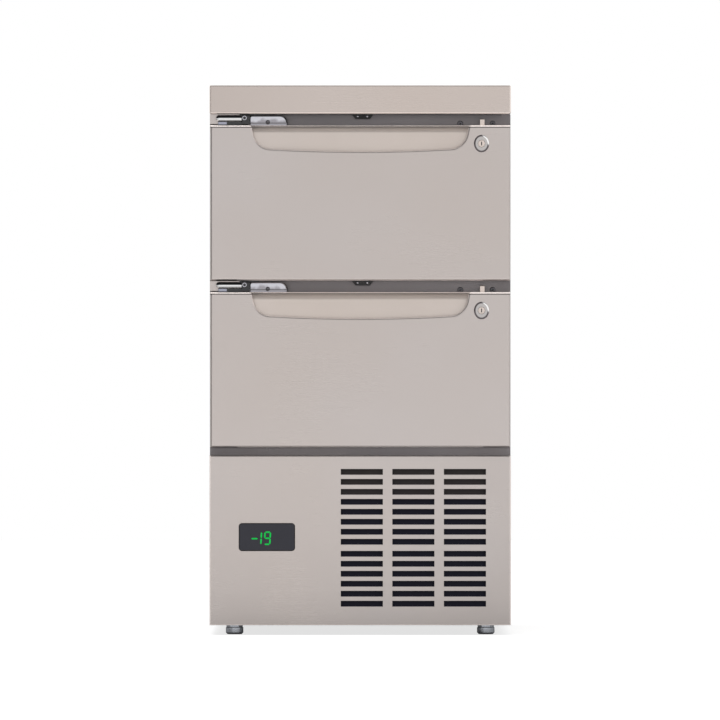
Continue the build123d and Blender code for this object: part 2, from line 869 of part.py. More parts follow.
def make_tub(base):
    """Stainless drawer tub for full-size catering pans, with a rolled-out rim and air slots."""
    tub_z = base + tub_lift
    tub_y = front_back_y + tub_length / 2
    slot_length = 62
    slot_height = 9
    with BuildPart() as tub:
        with BuildSketch(Plane.XY.offset(tub_z)):
            with Locations((0, tub_y)):
                RectangleRounded(2 * tub_half_width, tub_length, tub_corner_radius)
        extrude(amount=tub_height)
        fillet(tub.faces().sort_by(Axis.Z)[0].edges(), tub_floor_radius)
        offset(amount=-tub_sheet, openings=tub.faces().sort_by(Axis.Z)[-1])
        with BuildSketch(Plane.XY.offset(tub_z + tub_height - tub_sheet)):
            with Locations((0, front_back_y)):
                Rectangle(
                    2 * (tub_half_width + tub_rim), tub_length + tub_rim - 1,
                    align=(Align.CENTER, Align.MIN),
                )
            with Locations((0, tub_y)):
                RectangleRounded(
                    2 * (tub_half_width - tub_sheet), tub_length - 2 * tub_sheet,
                    tub_corner_radius - tub_sheet, mode=Mode.SUBTRACT,
                )
        extrude(amount=tub_sheet)
        with BuildSketch(Plane.YZ):
            with Locations((tub_y, tub_z + tub_height - 40)):
                with GridLocations(tub_length / 6, 0, 5, 1):
                    Rectangle(slot_length, slot_height)
        extrude(amount=tub_half_width + 1, both=True, mode=Mode.SUBTRACT)
    return tub


# Telescopic slides: each member is made for the right side and mirrored to the left


def slide_member(base, web_x, web_side, lip_x, half_height):
    """Rolled channel along the drawer, open on the side away from its web."""
    centre_z = base + slide_lift
    web_window_height = half_height / 2
    with BuildPart() as member:
        with BuildSketch(facing(slide_y)):
            with Locations(((web_x + lip_x) / 2, centre_z)):
                Rectangle(abs(web_x - lip_x), 2 * half_height)
            with Locations(((web_x + lip_x) / 2 - web_side * slide_sheet, centre_z)):
                Rectangle(abs(web_x - lip_x), 2 * (half_height - slide_sheet), mode=Mode.SUBTRACT)
        extrude(amount=-slide_length)
        bends = member.edges().filter_by(Axis.Y).filter_by(lambda e: abs(e.center().X - web_x) < 0.01)
        chamfer(bends, slide_sheet - 0.4)
        with BuildSketch(Plane.YZ):
            with Locations((slide_y + slide_length / 2, centre_z)):
                with GridLocations(slide_length / 3, 0, 3, 1):
                    Rectangle(slide_window, web_window_height)
        extrude(amount=half_width, mode=Mode.SUBTRACT)
        mirror(about=Plane.YZ)
    return member


outer_lip_x = cavity_half - slide_front_lip
middle_web_x = cavity_half - slide_sheet - slide_play
middle_half_height = slide_half_height - slide_sheet - slide_play
inner_half_height = middle_half_height - slide_sheet - slide_play
middle_lip_x = outer_lip_x + slide_play
inner_lip_x = middle_web_x - slide_sheet - slide_play


# Locks


def make_lock_bezel(base):
    """Oval bezel and the tubular housing that carries the barrel."""
    lock_z = base + front_height - lock_drop
    with BuildPart() as bezel:
        with BuildSketch(facing(face_y - bezel_stand)):
            with Locations((lock_x, lock_z)):
                Ellipse(bezel_width / 2, bezel_height / 2)
        extrude(amount=-bezel_stand)
        fillet(bezel.edges().group_by(Axis.Y)[0], 1.5)
        with BuildSketch(facing(face_y - bezel_stand)):
            with Locations((lock_x, lock_z)):
                Ellipse(bezel_width / 2 - bezel_rim, bezel_height / 2 - bezel_rim)
        extrude(amount=-bezel_recess, mode=Mode.SUBTRACT)
        with BuildSketch(facing(face_y)):
            with Locations((lock_x, lock_z)):
                Circle(lock_housing_radius)
        extrude(amount=-lock_housing_length)
        with BuildSketch(facing(face_y - bezel_stand)):
            with Locations((lock_x, lock_z)):
                Circle(barrel_radius + turning_fit)
        extrude(amount=-(bezel_stand + lock_housing_length), mode=Mode.SUBTRACT)
    return bezel


def make_lock_barrel(base):
    """Turning plug with its key slot, and the cam whose pin lifts the bolt."""
    lock_z = base + front_height - lock_drop
    plug_face = face_y - bezel_stand + 0.5
    cam_y = face_y + lock_housing_length + part_gap
    pin_place = (
        lock_x - cam_pin_orbit * cos(radians(45)),
        lock_z - cam_pin_orbit * sin(radians(45)),
    )
    with BuildPart() as barrel:
        with BuildSketch(facing(plug_face)):
            with Locations((lock_x, lock_z)):
                Circle(barrel_radius)
        extrude(amount=-(cam_y - plug_face))
        chamfer(barrel.edges().group_by(Axis.Y)[0], 0.5)
        with BuildSketch(facing(plug_face)):
            with Locations((lock_x, lock_z)):
                Rectangle(key_slot_width, key_slot_height)
        extrude(amount=-6, mode=Mode.SUBTRACT)
        with BuildSketch(facing(cam_y)):
            with Locations((lock_x, lock_z)):
                Circle(cam_radius)
        extrude(amount=-cam_thickness)
        with BuildSketch(facing(cam_y + cam_thickness)):
            with Locations(pin_place):
                Circle(cam_pin_radius)
        extrude(amount=-(bolt_thickness + part_gap))
    return barrel


def make_lock_bolt(base):
    """Flat bolt: a yoke with a cross slot for the cam pin, and the tongue above it."""
    top = base + front_height
    lock_z = top - lock_drop
    pin_z = lock_z - cam_pin_orbit * sin(radians(45))
    slot_half_height = cam_pin_radius + 0.4
    slot_left = lock_x - cam_pin_orbit - slot_half_height
    slot_right = lock_x - cam_pin_orbit * cos(radians(45)) + slot_half_height
    tongue_x = lock_x + bolt_offset
    with BuildPart() as bolt:
        with BuildSketch(facing(bolt_y - bolt_thickness / 2)):
            with BuildLine():
                Polyline(
                    (slot_left - 2.5, pin_z - 5.5),
                    (tongue_x + bolt_width / 2, pin_z - 5.5),
                    (tongue_x + bolt_width / 2, top + bolt_stand),
                    (tongue_x - bolt_width / 2, top + bolt_stand),
                    (tongue_x - bolt_width / 2, pin_z + 7.5),
                    (slot_left - 2.5, pin_z + 5.5),
                    close=True,
                )
            make_face()
            with Locations(((slot_left + slot_right) / 2, pin_z)):
                SlotOverall(slot_right - slot_left, 2 * slot_half_height, mode=Mode.SUBTRACT)
        extrude(amount=-bolt_thickness)
        tip = bolt.faces().sort_by(Axis.Z)[-1].edges()
        chamfer(tip, 0.8)
    return bolt


# Catch bodies on the drawers

catch_left = -171
catch_right = -113.5
catch_height = 15
catch_depth = 14
catch_radius = 11
catch_seam = 3.2
catch_seam_width = 1.1
catch_screw_x = -143
catch_screw_z = 5
catch_screw_pocket = 4.4
nose_left = -182.9
nose_bottom = 1.3
nose_top = 14.5
arm_left = -219.6
arm_top = 5.3


def make_catch_body(base):
    """Chrome cover of the catch, on top of the front behind the scoop, parted by a seam near its foot."""
    top = base + front_height
    catch_y = face_y + scoop_depth + 6
    with BuildPart() as catch:
        with BuildSketch(facing(catch_y)) as profile:
            with Locations((catch_left, top)):
                Rectangle(catch_right - catch_left, catch_height, align=Align.MIN)
            right = profile.vertices().group_by(Axis.X)[-1].sort_by(Axis.Y)[-1]
            fillet(right, catch_radius)
            left = profile.vertices().group_by(Axis.X)[0].sort_by(Axis.Y)[-1]
            fillet(left, 4)
        extrude(amount=-catch_depth)
        chamfer(catch.faces().sort_by(Axis.Y)[0].edges().filter_by(lambda e: e.center().Z > top + 1), 1.3)
        with BuildSketch(facing(catch_y)):
            with Locations((catch_left, top + catch_seam)):
                Rectangle(catch_right - catch_left, catch_seam_width, align=Align.MIN)
            with Locations((catch_screw_x, top + catch_screw_z)):
                Circle(catch_screw_pocket)
        extrude(amount=-1.2, mode=Mode.SUBTRACT)
    return catch


def make_catch_nose(base):
    """Nylon nose that meets the end of the strike, and a strip on the front that runs on under it."""
    top = base + front_height
    nose_y = face_y + 1
    nose_depth = scoop_depth + 13
    arm_depth = bracket_set_back - 2
    with BuildPart() as nose:
        with BuildSketch(facing(nose_y)):
            with Locations((nose_left, top + nose_bottom)):
                Rectangle(catch_left - nose_left, nose_top - nose_bottom, align=Align.MIN)
        extrude(amount=-nose_depth)
        fillet(nose.edges().filter_by(Axis.Y).group_by(Axis.X)[0].sort_by(Axis.Z)[-1], 2.5)
        with BuildSketch(facing(nose_y)):
            with Locations((arm_left, top + part_gap)):
                Rectangle(nose_left - part_gap - arm_left, arm_top - part_gap, align=Align.MIN)
        extrude(amount=-arm_depth)
    return nose


for level, base in levels.items():
    write(make_front_skin(base), f"front_skin_{level}")
    write(make_handle_scoop(base), f"handle_scoop_{level}")
    write(make_front_core(base), f"front_core_{level}")
    write(make_gasket(base), f"gasket_{level}")
    write(make_tub(base), f"drawer_tub_{level}")
    write(
        slide_member(base, cavity_half, 1, outer_lip_x, slide_half_height), f"slide_outer_{level}"
    )
    write(
        slide_member(base, middle_web_x, 1, middle_lip_x, middle_half_height), f"slide_middle_{level}"
    )
    write(
        slide_member(base, tub_half_width, -1, inner_lip_x, inner_half_height), f"slide_inner_{level}"
    )
    write(make_lock_bezel(base), f"lock_bezel_{level}")
    write(make_lock_barrel(base), f"lock_barrel_{level}")
    write(make_lock_bolt(base), f"lock_bolt_{level}")
    write(make_catch_body(base), f"catch_body_{level}")
    write(make_catch_nose(base), f"catch_nose_{level}")

# Cooling machinery: condenser, its fan and the compressor

condenser_y = body_y + condenser_set_back
condenser_z = tray_top + condenser_lift
condenser_left = condenser_x - condenser_width / 2
condenser_right = condenser_x + condenser_width / 2

with BuildPart() as condenser:
    core_web = 12
    fin_pitch = (condenser_width - 2 * end_plate) / fin_count
    with BuildSketch(facing(condenser_y)):
        with Locations((condenser_x, condenser_z)):
            Rectangle(condenser_width, condenser_height, align=(Align.CENTER, Align.MIN))
    extrude(amount=-condenser_depth)
    slit_depth = (condenser_depth - core_web) / 2
    for slit_y in (condenser_y, condenser_y + condenser_depth - slit_depth):
        with BuildSketch(facing(slit_y)):
            with Locations((condenser_x, condenser_z + condenser_height / 2)):
                with GridLocations(fin_pitch, 0, fin_count, 1):
                    Rectangle(fin_slit, condenser_height - 12)
        extrude(amount=-slit_depth, mode=Mode.SUBTRACT)
write(condenser, "condenser")

shroud_y = condenser_y + condenser_depth
shroud_sheet = 1.5

with BuildPart() as condenser_shroud:
    with BuildSketch(facing(shroud_y)):
        with Locations((condenser_x, tray_top)):
            Rectangle(condenser_width, condenser_lift + condenser_height, align=(Align.CENTER, Align.MIN))
        with Locations((condenser_x, fan_axis_z)):
            Circle(fan_ring_radius, mode=Mode.SUBTRACT)
    extrude(amount=-shroud_sheet)
    with BuildSketch(facing(shroud_y)):
        with Locations((condenser_x, fan_axis_z)):
            Circle(fan_ring_radius + shroud_sheet)
            Circle(fan_ring_radius, mode=Mode.SUBTRACT)
    extrude(amount=-fan_ring_depth)
write(condenser_shroud, "condenser_shroud")


def make_fan(x, z, front_y, tip_radius, hub_radius, hub_depth, bore, blades, chord):
    """Moulded fan: bored hub with twisted blades lofted from root to tip."""
    root_pitch = 38
    tip_pitch = 22
    thickness = 1.6
    mid_y = front_y + hub_depth / 2
    with BuildPart() as fan:
        with BuildSketch(facing(front_y)):
            with Locations((x, z)):
                Circle(hub_radius)
        extrude(amount=-hub_depth)
        chamfer(fan.faces().sort_by(Axis.Y)[0].edges(), 2)
        for number in range(blades):
            turn = 360 * number / blades
            outward = Vector(cos(radians(turn)), 0, sin(radians(turn)))
            across = Vector(-sin(radians(turn)), 0, cos(radians(turn)))
            root = (hub_radius - 3, root_pitch, chord * 0.7)
            tip = (tip_radius, tip_pitch, chord)
            for radius, pitch, width in (root, tip):
                lean = across * cos(radians(pitch)) + Vector(0, 1, 0) * sin(radians(pitch))
                centre = Vector(x, mid_y, z) + outward * radius
                with BuildSketch(Plane(origin=centre, x_dir=lean, z_dir=outward)):
                    Rectangle(width, thickness)
            loft()
        with BuildSketch(facing(front_y)):
            with Locations((x, z)):
                Circle(bore + turning_fit)
        extrude(amount=-hub_depth, mode=Mode.SUBTRACT)
    return fan


def make_fan_motor(x, z, plate_y, motor_y, radius, length, shaft_end_y, arm_radius, arm_width):
    """Fan motor with its shaft, carried by a four-legged bracket on the plate."""
    arm_sheet = 3
    with BuildPart() as motor:
        with BuildSketch(facing(motor_y)):
            with Locations((x, z)):
                Circle(radius)
        extrude(amount=-length)
        chamfer(motor.faces().sort_by(Axis.Y)[-1].edges(), radius / 8)
        with BuildSketch(facing(motor_y)):
            with Locations((x, z)):
                Circle(shaft_radius)
        extrude(amount=motor_y - shaft_end_y)
        with BuildSketch(facing(motor_y - arm_sheet)):
            with Locations((x, z)):
                Rectangle(2 * arm_radius, arm_width)
                Rectangle(arm_width, 2 * arm_radius)
        extrude(amount=-arm_sheet)
        with BuildSketch(facing(plate_y)):
            with Locations((x, z)):
                with PolarLocations(arm_radius - arm_sheet / 2, 4):
                    Rectangle(arm_sheet, arm_width)
        extrude(amount=-(motor_y - plate_y))
    return motor


fan_front_y = shroud_y + shroud_sheet + 2
fan_hub_depth = 26
motor_y = fan_front_y + fan_hub_depth + 6
write(
    make_fan(condenser_x, fan_axis_z, fan_front_y, 95, 24, fan_hub_depth, shaft_radius, fan_blades, 34),
    "condenser_fan",
)
write(
    make_fan_motor(
        condenser_x, fan_axis_z, shroud_y + shroud_sheet, motor_y, motor_radius,
        motor_length, fan_front_y + 2, 106, 10,
    ),
    "condenser_fan_motor",
)

mount_height = 10
shell_taper = 12
shell_shoulder = 110
dome_radius = 85
stub_offset = 40
stub_top = tray_top + mount_height + compressor_height + 26

with BuildPart() as compressor:
    plate_z = tray_top + mount_height
    with BuildSketch(Plane.XY.offset(tray_top)):
        with Locations((compressor_x, compressor_y)):
            with GridLocations(150, 100, 2, 2):
                Circle(12)
    extrude(amount=mount_height)
    with BuildSketch(Plane.XY.offset(plate_z)):
        with Locations((compressor_x, compressor_y)):
            RectangleRounded(184, 134, 12)
    extrude(amount=4)
    shell_z = plate_z + 4
    with BuildSketch(Plane.XZ.offset(-compressor_y)):
        with BuildLine():
            shell_side = compressor_x + compressor_radius
            Polyline(
                (compressor_x, shell_z), (shell_side - shell_taper, shell_z),
                (shell_side, shell_z + 2 * shell_taper), (shell_side, shell_z + shell_shoulder),
            )
            RadiusArc(
                (shell_side, shell_z + shell_shoulder), (compressor_x, shell_z + compressor_height),
                -dome_radius,
            )
            Line((compressor_x, shell_z + compressor_height), (compressor_x, shell_z))
        make_face()
    revolve(axis=Axis((compressor_x, compressor_y, 0), (0, 0, 1)))
    with BuildSketch(Plane.XY.offset(shell_z + 70)):
        with Locations((compressor_x, compressor_y)):
            Circle(compressor_radius + 5)
    extrude(amount=4)
    with BuildSketch(Plane.XY.offset(shell_z + compressor_height - 40)):
        with Locations((compressor_x, compressor_y)):
            with GridLocations(2 * stub_offset, 0, 2, 1):
                Circle(pipe_radius + 1)
    extrude(amount=stub_top - shell_z - compressor_height + 40)
    # Terminal cover on the side of the shell
    with BuildSketch(Plane.YZ.offset(compressor_x - compressor_radius - 22)):
        with Locations((compressor_y, shell_z + 40)):
            RectangleRounded(58, 52, 6)
    extrude(amount=34)
write(compressor, "compressor")

# Evaporator behind its cover at the back of the cavity

with BuildPart() as evaporator:
    evaporator_fins = 22
    evaporator_y = cavity_back - evaporator_depth
    with BuildSketch(facing(evaporator_y)):
        with Locations((0, evaporator_z)):
            Rectangle(
                2 * evaporator_half_width, evaporator_height, align=(Align.CENTER, Align.MIN)
            )
    extrude(amount=-evaporator_depth)
    with BuildSketch(facing(evaporator_y)):
        with Locations((0, evaporator_z + evaporator_height / 2)):
            with GridLocations(2 * evaporator_half_width / evaporator_fins, 0, evaporator_fins - 1, 1):
                Rectangle(fin_slit + 2, evaporator_height - 10)
    extrude(amount=-evaporator_depth * 0.7, mode=Mode.SUBTRACT)
write(evaporator, "evaporator")

cover_sheet = 1.5
cover_flange = 14
cover_ring_depth = 10
cover_slot_length = 220
cover_slot_height = 8
cover_slot_pitch = 16

with BuildPart() as evaporator_cover:
    with BuildSketch(facing(cover_y)):
        with Locations((0, cavity_mid)):
            RectangleRounded(
                2 * (cavity_half - part_gap), cavity_height - 2 * part_gap, liner_radius
            )
    extrude(amount=-cover_flange)
    with BuildSketch(facing(cover_y + cover_sheet)):
        with Locations((0, cavity_mid)):
            RectangleRounded(
                2 * (cavity_half - part_gap - cover_sheet), cavity_height - 2 * (part_gap + cover_sheet),
                liner_radius - cover_sheet,
            )
    extrude(amount=-cover_flange, mode=Mode.SUBTRACT)
    with BuildSketch(facing(cover_y)):
        with Locations((0, evaporator_fan_z)):
            Circle(evaporator_ring_radius + cover_sheet)
    extrude(amount=-cover_ring_depth)
    with BuildSketch(facing(cover_y)):
        with Locations((0, evaporator_fan_z)):
            Circle(evaporator_ring_radius)
        with Locations((0, evaporator_z + 20)):
            with GridLocations(0, cover_slot_pitch, 1, 4):
                Rectangle(cover_slot_length, cover_slot_height)
    extrude(amount=-cover_flange, mode=Mode.SUBTRACT)
write(evaporator_cover, "evaporator_cover")

evaporator_fan_y = cover_y + cover_sheet + 2
evaporator_hub_depth = 16
evaporator_motor_y = evaporator_fan_y + evaporator_hub_depth + 4
write(
    make_fan(0, evaporator_fan_z, evaporator_fan_y, 56, 16, evaporator_hub_depth, shaft_radius, 5, 26),
    "evaporator_fan",
)
write(
    make_fan_motor(
        0, evaporator_fan_z, cover_y + cover_sheet, evaporator_motor_y, 20, 30,
        evaporator_fan_y + 2, 72, 8,
    ),
    "evaporator_fan_motor",
)

# Electrical box and pipework

with BuildPart() as control_box:
    box_place = (control_box_side_inset - half_width, body_y + control_box_set_back)
    lid_lip = 2
    lid_height = 4
    with BuildSketch(Plane.XY.offset(tray_top)):
        with Locations(box_place):
            Rectangle(control_box_width, control_box_depth)
    extrude(amount=control_box_height)
    with BuildSketch(Plane.XY.offset(tray_top + control_box_height)):
        with Locations(box_place):
            Rectangle(control_box_width + 2 * lid_lip, control_box_depth + 2 * lid_lip)
    extrude(amount=lid_height)
    chamfer(control_box.faces().sort_by(Axis.Z)[-1].edges(), 1)
write(control_box, "control_box")

coil_y = condenser_y + condenser_depth / 2
coil_clear = condenser_left - 20
pipe_high = body_floor - 34
pipe_low = tray_top + 33
drier_radius = 9
drier_length = 80

with BuildPart() as refrigerant_pipes:
    # Suction line from the evaporator down to the compressor
    add(
        tube_along(
            [
                (pipe_x, pipe_y, evaporator_z), (pipe_x, pipe_y, pipe_high),
                (compressor_x + stub_offset, compressor_y, pipe_high),
                (compressor_x + stub_offset, compressor_y, stub_top),
            ],
            pipe_radius, pipe_bend,
        )
    )
    # Discharge line from the compressor to the top of the condenser
    add(
        tube_along(
            [
                (compressor_x - stub_offset, compressor_y, stub_top),
                (compressor_x - stub_offset, compressor_y, pipe_high),
                (coil_clear, coil_y, pipe_high), (condenser_left, coil_y, pipe_high),
            ],
            pipe_radius, pipe_bend,
        )
    )
    # Liquid line from the foot of the condenser, through its drier, up to the evaporator
    add(
        tube_along(
            [
                (condenser_left, coil_y, pipe_low), (coil_clear, coil_y, pipe_low),
                (coil_clear, pipe_y, pipe_low), (-pipe_x, pipe_y, pipe_low),
                (-pipe_x, pipe_y, evaporator_z),
            ],
            pipe_radius, pipe_bend,
        )
    )
    with BuildSketch(facing(compressor_y - drier_length)):
        with Locations((coil_clear, pipe_low)):
            Circle(drier_radius)
    extrude(amount=-drier_length)
write(refrigerant_pipes, "refrigerant_pipes")
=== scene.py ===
import math

import bmesh
import bpy
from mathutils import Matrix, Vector


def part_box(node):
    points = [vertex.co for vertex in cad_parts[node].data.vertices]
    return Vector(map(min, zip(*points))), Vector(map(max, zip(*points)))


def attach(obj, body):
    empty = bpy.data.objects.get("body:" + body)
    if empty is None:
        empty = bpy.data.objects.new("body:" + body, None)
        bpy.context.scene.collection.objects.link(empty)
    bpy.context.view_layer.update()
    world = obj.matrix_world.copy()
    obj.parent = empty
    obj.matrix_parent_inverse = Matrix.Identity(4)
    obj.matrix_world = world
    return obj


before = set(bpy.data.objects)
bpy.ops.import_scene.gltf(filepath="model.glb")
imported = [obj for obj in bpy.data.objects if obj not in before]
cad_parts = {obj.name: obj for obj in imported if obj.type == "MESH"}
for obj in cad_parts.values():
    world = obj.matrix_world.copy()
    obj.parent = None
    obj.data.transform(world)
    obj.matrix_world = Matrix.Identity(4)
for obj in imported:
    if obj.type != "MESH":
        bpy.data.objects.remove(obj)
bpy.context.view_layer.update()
scene = bpy.context.scene
scene.view_settings.view_transform = "Standard"

# Places that the camera, the materials and the small pieces share, read from the frame
skin_low, skin_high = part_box("front_skin_upper")
bezel_low, bezel_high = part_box("lock_bezel_upper")
catch_low, catch_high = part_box("catch_body_upper")
panel_low, panel_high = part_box("service_panel")
lens_low, lens_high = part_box("display_lens")
FACE_Y = skin_low.y
UPPER_TOP = skin_high.z
LOWER_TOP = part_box("front_skin_lower")[1].z
PITCH = UPPER_TOP - LOWER_TOP
LOCK_X = (bezel_low.x + bezel_high.x) / 2
LOCK_DROP = UPPER_TOP - (bezel_low.z + bezel_high.z) / 2
LENS_FACE = lens_low.y
CATCH_FACE = catch_low.y
NOSE_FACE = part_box("catch_nose_upper")[0].y
BARREL_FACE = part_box("lock_barrel_upper")[0].y
BRACKET_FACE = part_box("strike_brackets")[0].y
SWITCH_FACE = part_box("drawer_switches")[0].y
RAIL_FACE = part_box("front_frame")[0].y

# Camera: level with the middle of the cabinet, square to its front
IMAGE_WIDTH = 1.1128
DISTANCE = 18.0
SENSOR_WIDTH = 36
CAMERA_X = -0.0003
CAMERA_Z = 0.4255
camera_data = bpy.data.cameras.new("camera")
camera_data.sensor_width = SENSOR_WIDTH
camera_data.lens = SENSOR_WIDTH * DISTANCE / IMAGE_WIDTH
camera_data.clip_end = 60
camera = bpy.data.objects.new("camera", camera_data)
camera.location = (CAMERA_X, FACE_Y - DISTANCE, CAMERA_Z)
camera.rotation_euler = (math.radians(90), 0, 0)
scene.collection.objects.link(camera)
scene.camera = camera


# Nodes that the materials are made of

def new_material(name):
    material = bpy.data.materials.new(name)
    material.use_nodes = True
    tree = material.node_tree
    shader = next(n for n in tree.nodes if n.type == "BSDF_PRINCIPLED")
    return material, tree, shader


def noise(tree, scale, detail, stretch=(1, 1, 1)):
    """Noise in the part's own metres, stretched by the given scales."""
    where = tree.nodes.new("ShaderNodeTexCoord")
    mapping = tree.nodes.new("ShaderNodeMapping")
    mapping.inputs["Scale"].default_value = stretch
    texture = tree.nodes.new("ShaderNodeTexNoise")
    texture.inputs["Scale"].default_value = scale
    texture.inputs["Detail"].default_value = detail
    texture.inputs["Roughness"].default_value = 0.6
    tree.links.new(where.outputs["Object"], mapping.inputs["Vector"])
    tree.links.new(mapping.outputs["Vector"], texture.inputs["Vector"])
    return texture.outputs["Fac"]


def place_in_part(tree):
    """The part's own x, y and z in metres."""
    where = tree.nodes.new("ShaderNodeTexCoord")
    split = tree.nodes.new("ShaderNodeSeparateXYZ")
    tree.links.new(where.outputs["Object"], split.inputs["Vector"])
    return split.outputs["X"], split.outputs["Y"], split.outputs["Z"]


def math_node(tree, operation, first, second=None):
    """One Math node, whose values are numbers or other nodes' outputs."""
    node = tree.nodes.new("ShaderNodeMath")
    node.operation = operation
    for socket, value in zip(node.inputs, (first, second)):
        if isinstance(value, (int, float)):
            socket.default_value = value
        elif value is not None:
            tree.links.new(value, socket)
    return node.outputs["Value"]


def times(tree, first, second):
    return math_node(tree, "MULTIPLY", first, second)


def spread(tree, value, low, high, start=0.3, end=0.7):
    """Maps the range start to end, which holds most of a noise, onto low to high."""
    node = tree.nodes.new("ShaderNodeMapRange")
    node.inputs["From Min"].default_value = start
    node.inputs["From Max"].default_value = end
    node.inputs["To Min"].default_value = low
    node.inputs["To Max"].default_value = high
    tree.links.new(value, node.inputs["Value"])
    return node.outputs["Result"]


def rise(tree, value, start, end):
    """Zero up to start, one from end on."""
    return spread(tree, value, 0, 1, start, end)


def fall(tree, value, start, end):
    """One up to start, zero from end on."""
    return spread(tree, value, 1, 0, start, end)


def between(tree, share, low, high):
    """Low where the share is zero, high where it is one."""
    return spread(tree, share, low, high, 0, 1)


def blend_colour(tree, factor, low, high):
    """Mixes two colours, of which the second may come from another node."""
    node = tree.nodes.new("ShaderNodeMix")
    node.data_type = "RGBA"
    node.inputs["A"].default_value = (*low, 1)
    if isinstance(high, tuple):
        node.inputs["B"].default_value = (*high, 1)
    else:
        tree.links.new(high, node.inputs["B"])
    tree.links.new(factor, node.inputs["Factor"])
    return node.outputs["Result"]


BUMP_DEPTH = 0.0002


def bump(tree, shader, value, strength):
    node = tree.nodes.new("ShaderNodeBump")
    node.inputs["Strength"].default_value = strength
    node.inputs["Distance"].default_value = BUMP_DEPTH
    tree.links.new(value, node.inputs["Height"])
    tree.links.new(node.outputs["Normal"], shader.inputs["Normal"])


# Kinds of material

# Brushed sheet: how fine its grain is and how far it is drawn out, and how wide its marks and clouds are
GRAIN_SCALE = 1400
GRAIN_STRETCH = 0.004
GRAIN_BUMP = 0.004
MARK_SCALE = 6
CLOUD_SCALE = 2.6
WARM_SHARE = (0.985, 0.965, 0.94)


def brushed(name, colour, rough, along="X", contrast=0.004, edge=None):
    """Sheet metal with a fine grain along one axis, faint warm clouds and handling marks.

    An edge function gives the tone, which holds painted highlights and painted shade, and where it changes
    the shine, the extra roughness and the dullness.
    """
    material, tree, shader = new_material(name)
    fine = noise(tree, GRAIN_SCALE, 2, [GRAIN_STRETCH if axis == along else 1 for axis in "XYZ"])
    marks = noise(tree, MARK_SCALE, 4)
    cloud = spread(tree, noise(tree, CLOUD_SCALE, 2), 0, 1)
    warm = tuple(c * share for c, share in zip(colour, WARM_SHARE))
    surface = blend_colour(tree, cloud, warm, colour)
    grain = spread(tree, fine, 1 - contrast, 1 + contrast)
    polish = math_node(
        tree, "ADD", spread(tree, fine, -0.025, 0.025), spread(tree, marks, rough - 0.03, rough + 0.04)
    )
    tone, rougher, dull = edge(tree) if edge else (None, None, None)
    if tone:
        grain = times(tree, grain, tone)
    if dull:
        polish = math_node(tree, "ADD", polish, rougher)
        tree.links.new(math_node(tree, "SUBTRACT", 1, dull), shader.inputs["Metallic"])
    else:
        shader.inputs["Metallic"].default_value = 1
    shade = tree.nodes.new("ShaderNodeVectorMath")
    shade.operation = "SCALE"
    tree.links.new(surface, shade.inputs["Vector"])
    tree.links.new(grain, shade.inputs["Scale"])
    tree.links.new(shade.outputs["Vector"], shader.inputs["Base Color"])
    tree.links.new(polish, shader.inputs["Roughness"])
    bump(tree, shader, fine, GRAIN_BUMP)
    return material


def mottled(tree, texture, colour, contrast):
    """A colour that a texture makes a little darker and lighter."""
    dark, pale = (tuple(min(1, c * share) for c in colour) for share in (1 - contrast, 1 + contrast))
    return blend_colour(tree, spread(tree, texture, 0, 1), dark, pale)


def plain_metal(name, colour, rough, scale=40, contrast=0.06, strength=0.05):
    """Plated, cast or polished metal with slight mottling."""
    material, tree, shader = new_material(name)
    mottle = noise(tree, scale, 5)
    tree.links.new(mottled(tree, mottle, colour, contrast), shader.inputs["Base Color"])
    tree.links.new(spread(tree, mottle, rough * 0.8, rough * 1.25), shader.inputs["Roughness"])
    shader.inputs["Metallic"].default_value = 1
    bump(tree, shader, mottle, strength)
    return material


def toned_metal(name, rough, tones, waves=None):
    """Polished metal whose tones, which paint its reflections, come from the part's own coordinates, with
    waves of the given strength.
    """
    material, tree, shader = new_material(name)
    tree.links.new(tones(tree), shader.inputs["Base Color"])
    shader.inputs["Metallic"].default_value = 1
    shader.inputs["Roughness"].default_value = rough
    if waves:
        bump(tree, shader, noise(tree, 110, 4), waves)
    return material


def coated(name, colour, rough, scale=700, contrast=0.08, strength=0.1, coat=0.0, specular=0.5, tones=None):
    """Paint, plastic, rubber or foam with a fine surface texture; tones take the place of the colour."""
    material, tree, shader = new_material(name)
    texture = noise(tree, scale, 4)
    surface = tones(tree) if tones else mottled(tree, noise(tree, 12, 3), colour, contrast)
    tree.links.new(surface, shader.inputs["Base Color"])
    tree.links.new(spread(tree, texture, rough - 0.05, rough + 0.06), shader.inputs["Roughness"])
    shader.inputs["Specular IOR Level"].default_value = specular
    shader.inputs["Coat Weight"].default_value = coat
    shader.inputs["Coat Roughness"].default_value = 0.1
    bump(tree, shader, texture, strength)
    return material


# Tones that follow the part's own coordinates: painted reflections on the polished parts, and the dust
# filter's paler top

def over_front(tree, z, below=0.0):
    """Height over a level this far below a drawer front's top, counted alike for both drawers."""
    return math_node(tree, "MODULO", math_node(tree, "SUBTRACT", z, LOWER_TOP - below), PITCH)


def roller_painted_reflection(tree):
    """Each strike's roller: a painted reflection, black on its upper half and bright below."""
    height = over_front(tree, place_in_part(tree)[2])
    upper_half = rise(tree, height, 0.0109, 0.0113)
    return blend_colour(tree, upper_half, (0.7, 0.7, 0.7), (0.02, 0.02, 0.022))


def catch_painted_reflection(tree):
    """Each catch body: a painted reflection, darker on its lower part, with a wavy upper end to it."""
    height = over_front(tree, place_in_part(tree)[2])
    wave = spread(tree, noise(tree, 60, 2), -0.004, 0.004)
    lower_part = fall(tree, math_node(tree, "ADD", height, wave), 0.0042, 0.0092)
    return blend_colour(tree, lower_part, (0.6, 0.595, 0.64), (0.34, 0.325, 0.35))


